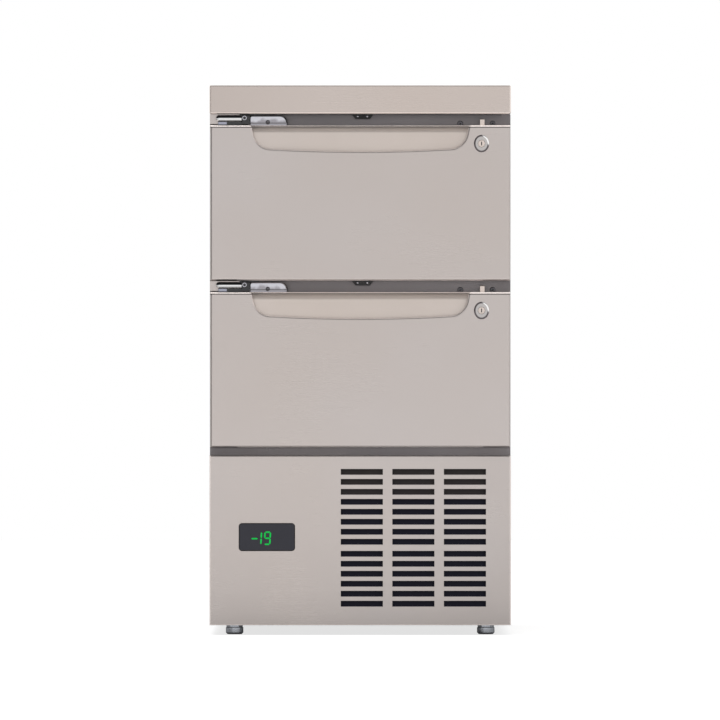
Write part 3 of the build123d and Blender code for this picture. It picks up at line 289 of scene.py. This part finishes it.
def bezel_painted_reflection(tree):
    """Each oval lock bezel: a painted reflection, a dark rim with a painted glint at its upper right."""
    half_width, half_height = 0.0092, 0.0109
    x, _, z = place_in_part(tree)
    height = over_front(tree, z, LOCK_DROP + PITCH / 2)
    across = math_node(tree, "DIVIDE", math_node(tree, "SUBTRACT", x, LOCK_X), half_width)
    upward = math_node(tree, "DIVIDE", math_node(tree, "SUBTRACT", height, PITCH / 2), half_height)
    square = math_node(tree, "ADD", times(tree, across, across), times(tree, upward, upward))
    towards = math_node(tree, "ADD", times(tree, across, 0.8), times(tree, upward, 0.6))
    rim = rise(tree, square, 0.94, 1.06)
    painted_glint = rise(tree, towards, 0.72, 0.94)
    rim_tones = blend_colour(tree, painted_glint, (0.13, 0.115, 0.12), (0.97, 0.96, 0.95))
    return blend_colour(tree, rim, (0.5, 0.475, 0.465), rim_tones)


def filter_tones(tree):
    """The dust filter: paler towards its top."""
    height = place_in_part(tree)[2]
    paler_top = times(tree, rise(tree, height, 0.209, 0.219), spread(tree, noise(tree, 40, 3), 0.8, 1))
    return blend_colour(tree, paler_top, (0.0115, 0.0115, 0.019), (0.031, 0.027, 0.026))


# Painted highlights on the edges and painted shade over the sheet metal: tone, extra roughness and dullness

def front_top_edge(tree):
    """The rolled edges of each drawer front at its top and round its pull, with a painted highlight, and a
    painted dark reflection line under the top edge.
    """
    reach, beside_pull, pull_share = 0.006, 0.19, 0.55
    x, y, z = place_in_part(tree)
    height = over_front(tree, z, reach)
    on_front = math_node(tree, "LESS_THAN", height, reach + 0.0001)
    painted_highlight = times(tree, rise(tree, height, 0.0035, 0.0039), on_front)
    # Painted dark reflection line just under the top edge of the front
    line = times(tree, rise(tree, height, 0.0017, 0.0021), fall(tree, height, 0.0034, 0.0038))
    at_pull = math_node(tree, "LESS_THAN", math_node(tree, "ABSOLUTE", x), beside_pull)
    roll = times(tree, rise(tree, y, FACE_Y + 0.0003, FACE_Y + 0.0014), at_pull)
    painted_highlight = math_node(tree, "MAXIMUM", painted_highlight, times(tree, roll, pull_share))
    tone = times(tree, between(tree, painted_highlight, 1, 1.85), between(tree, line, 1, 0.3))
    return tone, between(tree, painted_highlight, 0, 0.25), between(tree, painted_highlight, 0, 0.55)


def scoop_top(tree):
    """The scoop's top under the gap: duller, with painted shade that darkens it where it turns back."""
    height = over_front(tree, place_in_part(tree)[2], 0.06)
    fade = rise(tree, height, 0.05, 0.058)
    tone = spread(tree, height, 1, 0.45, 0.0525, 0.0585)
    return tone, between(tree, fade, 0, 0.15), between(tree, fade, 0, 0.4)


def near_face(tree, y):
    """One on the front faces of the sheets, zero behind them."""
    return math_node(tree, "LESS_THAN", y, FACE_Y + 0.004)


def worktop_low_edge(tree):
    """The rolled lower edge of the worktop's rim and its ends with a painted highlight, and painted shade
    towards its left.
    """
    x, y, z = place_in_part(tree)
    end = times(tree, rise(tree, math_node(tree, "ABSOLUTE", x), 0.2308, 0.232), near_face(tree, y))
    painted_highlight = math_node(tree, "MAXIMUM", fall(tree, z, 0.8075, 0.8085), end)
    tone = times(tree, between(tree, painted_highlight, 1, 1.35), spread(tree, x, 0.94, 1, -0.23, -0.06))
    return tone, between(tree, painted_highlight, 0, -0.15), between(tree, end, 0, 0.5)


def panel_edges(tree):
    """The rounded side and lower edges of the service panel with a painted highlight, and painted shade down
    and to the right.
    """
    outer, inner = 0.0012, 0.0022
    x, y, z = place_in_part(tree)
    side = rise(tree, math_node(tree, "ABSOLUTE", x), panel_high.x - inner, panel_high.x - outer)
    foot = fall(tree, z, panel_low.z + outer, panel_low.z + inner)
    painted_highlight = times(tree, math_node(tree, "MAXIMUM", side, foot), near_face(tree, y))
    painted_shade = times(tree, spread(tree, x, 1, 0.95, 0, 0.2), spread(tree, z, 0.965, 1, 0.12, 0.26))
    tone = times(tree, between(tree, painted_highlight, 1, 1.5), painted_shade)
    return tone, between(tree, painted_highlight, 0, 0.3), between(tree, painted_highlight, 0, 0.55)


def frame_tones(tree):
    """The front frame with painted light and shade: a little paler over the machine compartment, a little
    darker to the left.
    """
    x, _, z = place_in_part(tree)
    tone = times(tree, spread(tree, z, 1.2, 1, 0.285, 0.3), spread(tree, x, 0.86, 1, -0.2, -0.02))
    return tone, None, None


# Materials
STEEL = (0.55, 0.503, 0.486)
front_steel = brushed("front_steel", STEEL, 0.3)
panel_steel = brushed("panel_steel", STEEL, 0.3, edge=panel_edges)
drawer_steel = brushed("drawer_steel", STEEL, 0.3, edge=front_top_edge)
scoop_steel = brushed("scoop_steel", (0.69, 0.62, 0.58), 0.47, edge=scoop_top)
side_steel = brushed("side_steel", STEEL, 0.34, "Z")
top_steel = brushed("top_steel", (0.59, 0.522, 0.488), 0.3, edge=worktop_low_edge)
tub_steel = brushed("tub_steel", (0.62, 0.6, 0.59), 0.3, "Y")
liner_metal = brushed("liner_metal", (0.7, 0.7, 0.69), 0.42, "Y", 0.02)
frame_grey = brushed("frame_grey", (0.19, 0.178, 0.184), 0.3, edge=frame_tones)
zinc = plain_metal("zinc", (0.42, 0.43, 0.44), 0.42, 60, 0.12)
slide_zinc = plain_metal("slide_zinc", (0.5, 0.51, 0.52), 0.3, 80, 0.06)
chrome = plain_metal("chrome", (0.56, 0.555, 0.6), 0.12, 30, 0.02, 0.01)
foot_metal = plain_metal("foot_metal", (0.47, 0.49, 0.53), 0.12, 60, 0.12, 0.05)
nickel = plain_metal("nickel", (0.7, 0.61, 0.56), 0.25, 90, 0.05)
fin_metal = plain_metal("fin_metal", (0.5, 0.5, 0.5), 0.45, 120, 0.1)
copper = plain_metal("copper", (0.72, 0.36, 0.22), 0.28, 50, 0.12)
screw_dark = plain_metal("screw_dark", (0.13, 0.125, 0.135), 0.3, 200)
wavy_chrome = toned_metal("wavy_chrome", 0.14, catch_painted_reflection, waves=0.5)
roller_metal = toned_metal("roller_metal", 0.1, roller_painted_reflection)
bezel_metal = toned_metal("bezel_metal", 0.14, bezel_painted_reflection)
seal_black = coated("seal_black", (0.022, 0.02, 0.021), 0.7, 900, 0.05, 0.05, specular=0.1)
condenser_black = coated("condenser_black", (0.034, 0.033, 0.042), 0.6, 300, 0.15)
machine_black = coated("machine_black", (0.012, 0.012, 0.013), 0.28, 200, 0.15, 0.05, 0.3)
plastic_black = coated("plastic_black", (0.016, 0.016, 0.017), 0.42)
rubber_grey = coated("rubber_grey", (0.055, 0.055, 0.058), 0.62, 900, 0.1, 0.15)
foam_cream = coated("foam_cream", (0.72, 0.66, 0.48), 0.8, 260, 0.08, 0.4)
core_board = coated("core_board", (0.2, 0.19, 0.19), 0.7, 260, 0.08, 0.2)
arm_blue = coated("arm_blue", (0.24, 0.245, 0.3), 0.35, 300, 0.06)
filter_mat = coated("filter_mat", None, 0.8, 900, strength=0.4, specular=0.1, tones=filter_tones)
panel_white = coated("panel_white", (0.62, 0.61, 0.59), 0.45, 600, 0.03)
smoked = coated("smoked", (0.012, 0.012, 0.019), 0.2, 900, 0.04, 0.01, specular=0.4)

green_light, green_tree, green_shader = new_material("green_light")
green_shader.inputs["Base Color"].default_value = (0.004, 0.06, 0.012, 1)
green_shader.inputs["Roughness"].default_value = 0.4
green_shader.inputs["Specular IOR Level"].default_value = 0
green_shader.inputs["Emission Color"].default_value = (0.006, 0.5, 0.07, 1)
glow = spread(green_tree, noise(green_tree, 900, 2), 0.85, 1.1)
green_tree.links.new(glow, green_shader.inputs["Emission Strength"])

node_material = {
    "worktop": top_steel,
    "worktop_core": core_board,
    "side_panel_left": side_steel,
    "side_panel_right": side_steel,
    "back_panel": zinc,
    "cabinet_foam": foam_cream,
    "inner_liner": liner_metal,
    "front_frame": frame_grey,
    "mullion": frame_grey,
    "rail_screws": screw_dark,
    "drawer_switches": plastic_black,
    "service_panel": panel_steel,
    "display_lens": smoked,
    "display_module": plastic_black,
    "base_tray": zinc,
    "rear_grille": zinc,
    "cable_gland": plastic_black,
    "strike_brackets": front_steel,
    "catch_strikes": roller_metal,
    "condenser": condenser_black,
    "condenser_shroud": machine_black,
    "condenser_fan": plastic_black,
    "condenser_fan_motor": machine_black,
    "compressor": machine_black,
    "refrigerant_pipes": copper,
    "control_box": zinc,
    "evaporator": fin_metal,
    "evaporator_cover": liner_metal,
    "evaporator_fan": plastic_black,
    "evaporator_fan_motor": machine_black,
}
for corner in ("front_left", "front_right", "rear_left", "rear_right"):
    node_material[f"foot_{corner}"] = foot_metal
for level in ("upper", "lower"):
    node_material.update({
        f"front_skin_{level}": drawer_steel,
        f"handle_scoop_{level}": scoop_steel,
        f"front_core_{level}": panel_white,
        f"gasket_{level}": rubber_grey,
        f"drawer_tub_{level}": tub_steel,
        f"slide_outer_{level}": slide_zinc,
        f"slide_middle_{level}": slide_zinc,
        f"slide_inner_{level}": slide_zinc,
        f"lock_bezel_{level}": bezel_metal,
        f"lock_barrel_{level}": nickel,
        f"lock_bolt_{level}": nickel,
        f"catch_body_{level}": wavy_chrome,
        f"catch_nose_{level}": plastic_black,
    })
for node, material in node_material.items():
    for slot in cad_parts[node].material_slots:
        slot.material = material


# Helpers for the small pieces

def finish_piece(name, builder, material, body):
    """Makes a mesh object from a filled bmesh and hangs it on its CAD body."""
    mesh = bpy.data.meshes.new(name)
    builder.to_mesh(mesh)
    builder.free()
    piece = bpy.data.objects.new(name, mesh)
    scene.collection.objects.link(piece)
    mesh.materials.append(material)
    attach(piece, body)


def prism(builder, outline, front, back):
    """Adds a closed prism: outline is a list of (x, z), running from depth front to depth back."""
    near = [builder.verts.new((x, front, z)) for x, z in outline]
    far = [builder.verts.new((x, back, z)) for x, z in outline]
    builder.faces.new(near)
    builder.faces.new(far[::-1])
    for i in range(len(outline)):
        j = (i + 1) % len(outline)
        builder.faces.new((near[i], far[i], far[j], near[j]))
    bmesh.ops.recalc_face_normals(builder, faces=builder.faces)


def rectangle(left, right, low, high):
    return [(left, low), (right, low), (right, high), (left, high)]


def turned_bar(x, z, half_length, half_width, turn):
    """Outline of a bar with its middle at (x, z), turned by an angle."""
    c, s = math.cos(turn), math.sin(turn)
    corners = rectangle(-half_length, half_length, -half_width, half_width)
    return [(x + c * u - s * v, z + s * u + c * v) for u, v in corners]


def quarter(x, z, radius, start, steps):
    """A quarter of a circle round (x, z), from the start angle in degrees."""
    angles = [math.radians(start + 90 * k / steps) for k in range(steps + 1)]
    return [(x + radius * math.cos(a), z + radius * math.sin(a)) for a in angles]


def circle(builder, x, z, radius, depth):
    """Adds the points of a circle round (x, z) at one depth."""
    around = 24
    angles = [2 * math.pi * k / around for k in range(around)]
    return [builder.verts.new((x + radius * math.cos(a), depth, z + radius * math.sin(a))) for a in angles]


def bridge(builder, this, other):
    """Joins two closed rows of as many points by faces."""
    for k in range(len(this)):
        n = (k + 1) % len(this)
        builder.faces.new((this[k], this[n], other[n], other[k]))


def closed_ring(builder, rows):
    """Joins each row to the next and the last to the first."""
    for this, other in zip(rows, rows[1:] + rows[:1]):
        bridge(builder, this, other)
    bmesh.ops.recalc_face_normals(builder, faces=builder.faces)


def washer(builder, x, z, outer, inner, front, back):
    """Adds a flat ring around (x, z), from depth front to depth back."""
    section = ((outer, front), (outer, back), (inner, back), (inner, front))
    closed_ring(builder, [circle(builder, x, z, radius, depth) for radius, depth in section])


def screw_head(builder, x, z, seat, radius, dome):
    """Domed screw head seated at depth seat, with a fine raised cross where the real one has its recess."""
    rings, flat_top, cross_length, cross_width = 5, 0.12, 0.55, 0.12
    rows = []
    for ring in range(rings + 1):
        angle = math.pi / 2 * ring / rings
        share = math.cos(angle) if ring < rings else flat_top
        rows.append(circle(builder, x, z, radius * share, seat - dome * math.sin(angle)))
    builder.faces.new(rows[0])
    for this, other in zip(rows, rows[1:]):
        bridge(builder, this, other)
    builder.faces.new(rows[-1][::-1])
    for turn in (0, math.pi / 2):
        cross = turned_bar(x, z, radius * cross_length, radius * cross_width, turn)
        prism(builder, cross, seat - dome - 0.00005, seat - dome * 0.4)


# Display numbers: minus one nine in slanted bars
SLANT = 0.06
DIGIT_HEIGHT = 0.0187
DIGIT_WIDTH = 0.0084
DIGIT_FOOT = 0.1407
BAR_WIDTH = 0.0023
BAR_GAP = 0.0003
BAR_PROUD = 0.00015
SUNK = 0.0003
ONE_LEFT = -0.1536 - DIGIT_WIDTH
NINE_LEFT = -0.1482
MINUS_LEFT = -0.1684
MINUS_RIGHT = -0.1583
MINUS_DROP = 0.0007
BAR_ENDS = {
    "top": ((0, 2), (1, 2)), "middle": ((0, 1), (1, 1)), "bottom": ((0, 0), (1, 0)),
    "upper_left": ((0, 1), (0, 2)), "upper_right": ((1, 1), (1, 2)),
    "lower_left": ((0, 0), (0, 1)), "lower_right": ((1, 0), (1, 1)),
}


def lit_bar(builder, start, end):
    """Adds a pointed bar from one point (x, z) of the display to another."""
    start, end = Vector(start), Vector(end)
    along = (end - start).normalized()
    side = Vector((-along.y, along.x)) * BAR_WIDTH / 2
    tip = along * BAR_WIDTH / 2
    outline = [start, start + tip + side, end - tip + side, end, end - tip - side, start + tip - side]
    prism(builder, outline, LENS_FACE - BAR_PROUD, LENS_FACE + SUNK)


def digit(builder, left, bars):
    """Draws the named bars of one number whose lower left corner is at left."""
    for name in bars:
        points = []
        for across, up in BAR_ENDS[name]:
            height = up * DIGIT_HEIGHT / 2
            points.append(Vector((left + across * DIGIT_WIDTH + SLANT * height, DIGIT_FOOT + height)))
        start, end = points
        gap = (end - start).normalized() * BAR_GAP
        lit_bar(builder, start + gap, end - gap)


numbers = bmesh.new()
minus_z = DIGIT_FOOT + DIGIT_HEIGHT / 2 - MINUS_DROP
lit_bar(numbers, (MINUS_LEFT, minus_z), (MINUS_RIGHT, minus_z))
digit(numbers, ONE_LEFT, ["upper_right", "lower_right"])
digit(numbers, NINE_LEFT, ["top", "middle", "bottom", "upper_left", "upper_right", "lower_right"])
finish_piece("display_numbers", numbers, green_light, "cabinet")


# Thin black seal round the edge of the lens
LENS_CORNER = 0.0045
SEAL_PROUD = 0.00012


def lens_outline(inset):
    """Outline of the lens as (x, z), moved inwards by inset."""
    radius = LENS_CORNER - inset
    points = []
    for right, up, start in ((1, 1, 0), (0, 1, 90), (0, 0, 180), (1, 0, 270)):
        x = lens_high.x - inset - radius if right else lens_low.x + inset + radius
        z = lens_high.z - inset - radius if up else lens_low.z + inset + radius
        points += quarter(x, z, radius, start, 6)
    return points


seal = bmesh.new()
front, back = LENS_FACE - SEAL_PROUD, LENS_FACE + SUNK
outer, inner, slope = 0.0001, 0.0014, 0.0003
seal_section = (
    (outer, LENS_FACE), (outer + slope, front), (inner - slope, front),
    (inner, LENS_FACE), (inner, back), (outer, back),
)
closed_ring(seal, [
    [seal.verts.new((x, depth, z)) for x, z in lens_outline(inset)] for inset, depth in seal_section
])
finish_piece("lens_seal", seal, seal_black, "cabinet")


# Small fittings in the gap above each drawer: their x, and their height over the drawer front's top
RAIL_SCREWS_X, RAIL_SCREW_Z = (0.1552, 0.2054), 0.0035
SWITCH_SCREWS_X, SWITCH_SCREW_Z = (-0.0039, 0.011), 0.0146
CATCH_SCREW_X, CATCH_SCREW_Z = -0.143, 0.005
NOSE_RING_X, NOSE_RING_Z = -0.1788, 0.0112
STRIP_ENDS, STRIP_Z = (-0.1865, -0.156), (0.0156, 0.017)
STOP_ENDS, STOP_Z = (-0.1852, -0.1833), (0.0125, 0.017)
ARM_PLATE_ENDS, ARM_PLATE_Z = (-0.2192, -0.2062), (0.0011, 0.0049)


def catch_outline(top, aside, above):
    """Outline of a catch body, grown aside and above: square foot, wide round right shoulder."""
    left, right = catch_low.x - aside, catch_high.x + aside
    foot = top + 0.0004
    high = top + catch_high.z - UPPER_TOP + above
    wide, narrow = 0.011 + above, 0.004
    shoulder = quarter(right - wide, high - wide, wide, 0, 8)
    corner = quarter(left + narrow, high - narrow, narrow, 90, 8)
    return [(left, foot), (right, foot), *shoulder, *corner]


def over_top(top, ends, heights):
    """Rectangle between two ends and two heights over a drawer front's top."""
    return rectangle(*ends, *(top + height for height in heights))


for level, top in (("upper", UPPER_TOP), ("lower", LOWER_TOP)):
    drawer = f"drawer_{level}"

    # Black crosses on the rail screws: painted shade for the dark of their recesses
    recesses = bmesh.new()
    for x in RAIL_SCREWS_X:
        for turn in (0.5, 0.5 + math.pi / 2):
            cross = turned_bar(x, top + RAIL_SCREW_Z, 0.0024, 0.0005, turn)
            prism(recesses, cross, RAIL_FACE - 0.00225, RAIL_FACE - 0.0012)
    finish_piece(f"screw_recess_{level}", recesses, plastic_black, "cabinet")

    switch_screws = bmesh.new()
    for x in SWITCH_SCREWS_X:
        screw_head(switch_screws, x, top + SWITCH_SCREW_Z, SWITCH_FACE, 0.0016, 0.0008)
    finish_piece(f"switch_screws_{level}", switch_screws, chrome, "cabinet")

    catch_screw = bmesh.new()
    screw_head(catch_screw, CATCH_SCREW_X, top + CATCH_SCREW_Z, CATCH_FACE + 0.0012, 0.0034, 0.0011)
    finish_piece(f"catch_screw_{level}", catch_screw, screw_dark, drawer)

    # The catch's seam, and a black backing that outlines the catch: a dark sheet of painted shade round the
    # catch
    seam = bmesh.new()
    line = rectangle(catch_low.x + 0.0002, catch_high.x - 0.0007, top + 0.0033, top + 0.0042)
    prism(seam, line, CATCH_FACE - 0.00005, CATCH_FACE + 0.0009)
    prism(seam, catch_outline(top, 0.0013, 0.0004), CATCH_FACE + 0.0025, CATCH_FACE + 0.0065)
    finish_piece(f"catch_seam_and_shade_{level}", seam, plastic_black, drawer)

    # Black insert in the key slot: painted shade for the dark inside the slot
    key_slot = bmesh.new()
    lock_z = top - LOCK_DROP
    slit = rectangle(LOCK_X - 0.0007, LOCK_X + 0.0007, lock_z - 0.0028, lock_z + 0.0028)
    prism(key_slot, slit, BARREL_FACE + 0.0003, BARREL_FACE + 0.0013)
    finish_piece(f"key_slot_{level}", key_slot, plastic_black, f"lock_barrel_{level}")

    # Black strip over the catch, a dark sheet of painted shade along the bracket's edge, and the stop beside
    # the roller, both on the strike's bracket
    strip = bmesh.new()
    prism(strip, over_top(top, STRIP_ENDS, STRIP_Z), BRACKET_FACE - 0.0015, BRACKET_FACE + 0.002)
    prism(strip, over_top(top, STOP_ENDS, STOP_Z), BRACKET_FACE - 0.0085, BRACKET_FACE + 0.002)
    finish_piece(f"catch_strip_{level}", strip, plastic_black, "cabinet")

    nose_ring = bmesh.new()
    ring_z, ring_back = top + NOSE_RING_Z, NOSE_FACE + 0.0005
    washer(nose_ring, NOSE_RING_X, ring_z, 0.0033, 0.0024, NOSE_FACE - 0.0003, ring_back)
    finish_piece(f"nose_ring_{level}", nose_ring, chrome, drawer)

    arm_plate = bmesh.new()
    prism(arm_plate, over_top(top, ARM_PLATE_ENDS, ARM_PLATE_Z), NOSE_FACE - 0.0002, NOSE_FACE + 0.0005)
    finish_piece(f"arm_plate_{level}", arm_plate, arm_blue, drawer)

# Dust filter close behind the air slots
FILTER_ENDS, FILTER_Z = (-0.036, 0.2), (0.038, 0.263)
dust_filter = bmesh.new()
prism(dust_filter, rectangle(*FILTER_ENDS, *FILTER_Z), FACE_Y + 0.0045, FACE_Y + 0.0075)
finish_piece("dust_filter", dust_filter, filter_mat, "cabinet")


# Floor

def seen_directly(tree):
    """One where the camera, a reflection or glass looks, zero for the light that falls on things."""
    path = tree.nodes.new("ShaderNodeLightPath")
    value = path.outputs["Is Camera Ray"]
    for ray in ("Is Glossy Ray", "Is Transmission Ray"):
        value = math_node(tree, "MAXIMUM", value, path.outputs[ray])
    return value


def pick_shader(tree, factor, first, second):
    """The first shader where the factor is zero, the second where it is one."""
    node = tree.nodes.new("ShaderNodeMixShader")
    for socket, value in zip(node.inputs, (factor, first, second)):
        tree.links.new(value, socket)
    return node.outputs["Shader"]


def lit_white(tree, grey, glow, near=None):
    """Floor as it is seen: partly lit, which keeps the shadow, and partly white of its own.

    With near, the lit part falls to that share of itself close in front of the cabinet: a painted shadow that
    reflections of the floor show.
    """
    fade_length = 0.8
    lit = tree.nodes.new("ShaderNodeBsdfDiffuse")
    if near:
        forward = times(tree, place_in_part(tree)[1], -1)
        away = rise(tree, forward, -FACE_Y, -FACE_Y + fade_length)
        tree.links.new(blend_colour(tree, away, (grey * near,) * 3, (grey,) * 3), lit.inputs["Color"])
    else:
        lit.inputs["Color"].default_value = (grey, grey, grey, 1)
    white = tree.nodes.new("ShaderNodeEmission")
    white.inputs["Color"].default_value = (1, 1, 1, 1)
    white.inputs["Strength"].default_value = glow
    both = tree.nodes.new("ShaderNodeAddShader")
    tree.links.new(lit.outputs["BSDF"], both.inputs[0])
    tree.links.new(white.outputs["Emission"], both.inputs[1])
    return both.outputs["Shader"]


floor_mesh = bpy.data.meshes.new("floor")
floor_builder = bmesh.new()
bmesh.ops.create_grid(floor_builder, x_segments=1, y_segments=1, size=9)
floor_builder.to_mesh(floor_mesh)
floor_builder.free()
floor = bpy.data.objects.new("floor", floor_mesh)
scene.collection.objects.link(floor)
floor_material, floor_tree, floor_shader = new_material("floor_white")
floor_shader.inputs["Roughness"].default_value = 0.9
floor_shader.inputs["Specular IOR Level"].default_value = 0.1
floor_colour = blend_colour(
    floor_tree, spread(floor_tree, noise(floor_tree, 2, 3), 0, 1), (0.86, 0.86, 0.86), (0.88, 0.88, 0.88)
)
floor_tree.links.new(floor_colour, floor_shader.inputs["Base Color"])
floor_path = floor_tree.nodes.new("ShaderNodeLightPath")
# Floor as reflections show it, with a painted shadow close in front of the cabinet
floor_mirrored = lit_white(floor_tree, 0.9, 0.02, near=0.3)
floor_seen = lit_white(floor_tree, 0.38, 0.745)
floor_direct = pick_shader(floor_tree, floor_path.outputs["Is Camera Ray"], floor_mirrored, floor_seen)
floor_surface = pick_shader(floor_tree, seen_directly(floor_tree), floor_shader.outputs["BSDF"], floor_direct)
floor_output = next(n for n in floor_tree.nodes if n.type == "OUTPUT_MATERIAL")
floor_tree.links.new(floor_surface, floor_output.inputs["Surface"])
floor_mesh.materials.append(floor_material)


# Light

def soft_lamp(name, place, size, power):
    """A wide lamp that points at the cabinet and isn't mirrored in it."""
    target = Vector((0, -0.3, 0.4))
    data = bpy.data.lights.new(name, "AREA")
    data.shape = "RECTANGLE"
    data.size, data.size_y = size
    data.energy = power
    lamp = bpy.data.objects.new(name, data)
    lamp.location = place
    lamp.rotation_euler = (target - Vector(place)).to_track_quat("-Z", "Y").to_euler()
    lamp.visible_glossy = False
    scene.collection.objects.link(lamp)


soft_lamp("key", (-0.8, -2.4, 3.0), (2.4, 1.4), 60)
soft_lamp("fill", (2.2, -2.2, 1.6), (1.6, 1.6), 14)

# The room that polished parts mirror: white, with a dark band high in front and to the left
ROOM_LIGHT = 0.82
BAND_DARKNESS = 0.92
world = bpy.data.worlds.new("studio")
scene.world = world
world.use_nodes = True
room = world.node_tree
room.nodes.clear()


def band(value, stops):
    """Darkness along one direction, given as stops of place and darkness."""
    ramp = room.nodes.new("ShaderNodeValToRGB")
    while len(ramp.color_ramp.elements) < len(stops):
        ramp.color_ramp.elements.new(0.5)
    for element, (place, darkness) in zip(ramp.color_ramp.elements, stops):
        element.position = place
        element.color = (darkness, darkness, darkness, 1)
    room.links.new(value, ramp.inputs["Fac"])
    return ramp.outputs["Color"]


def white_background():
    node = room.nodes.new("ShaderNodeBackground")
    node.inputs["Color"].default_value = (1, 1, 1, 1)
    return node


direction = room.nodes.new("ShaderNodeTexCoord")
towards = room.nodes.new("ShaderNodeSeparateXYZ")
room.links.new(direction.outputs["Generated"], towards.inputs["Vector"])
leftward = times(room, towards.outputs["X"], -1)
forward = times(room, towards.outputs["Y"], -1)
high_dark = band(towards.outputs["Z"], [(0.0, 0.0), (0.42, 0.0), (0.75, 1.0), (0.9, 1.0), (0.97, 0.0)])
left_dark = band(leftward, [(0.0, 0.0), (0.38, 0.0), (0.58, 1.0)])
in_front = rise(room, forward, 0.0, 0.2)
room_path = room.nodes.new("ShaderNodeLightPath")
dark = times(room, math_node(room, "MAXIMUM", high_dark, left_dark), in_front)
dark = times(room, times(room, dark, room_path.outputs["Is Glossy Ray"]), BAND_DARKNESS)
light = white_background()
light.inputs["Strength"].default_value = ROOM_LIGHT
shown = white_background()
room.links.new(math_node(room, "SUBTRACT", 1, dark), shown.inputs["Strength"])
surroundings = pick_shader(
    room, seen_directly(room), light.outputs["Background"], shown.outputs["Background"]
)
room_output = room.nodes.new("ShaderNodeOutputWorld")
room.links.new(surroundings, room_output.inputs["Surface"])
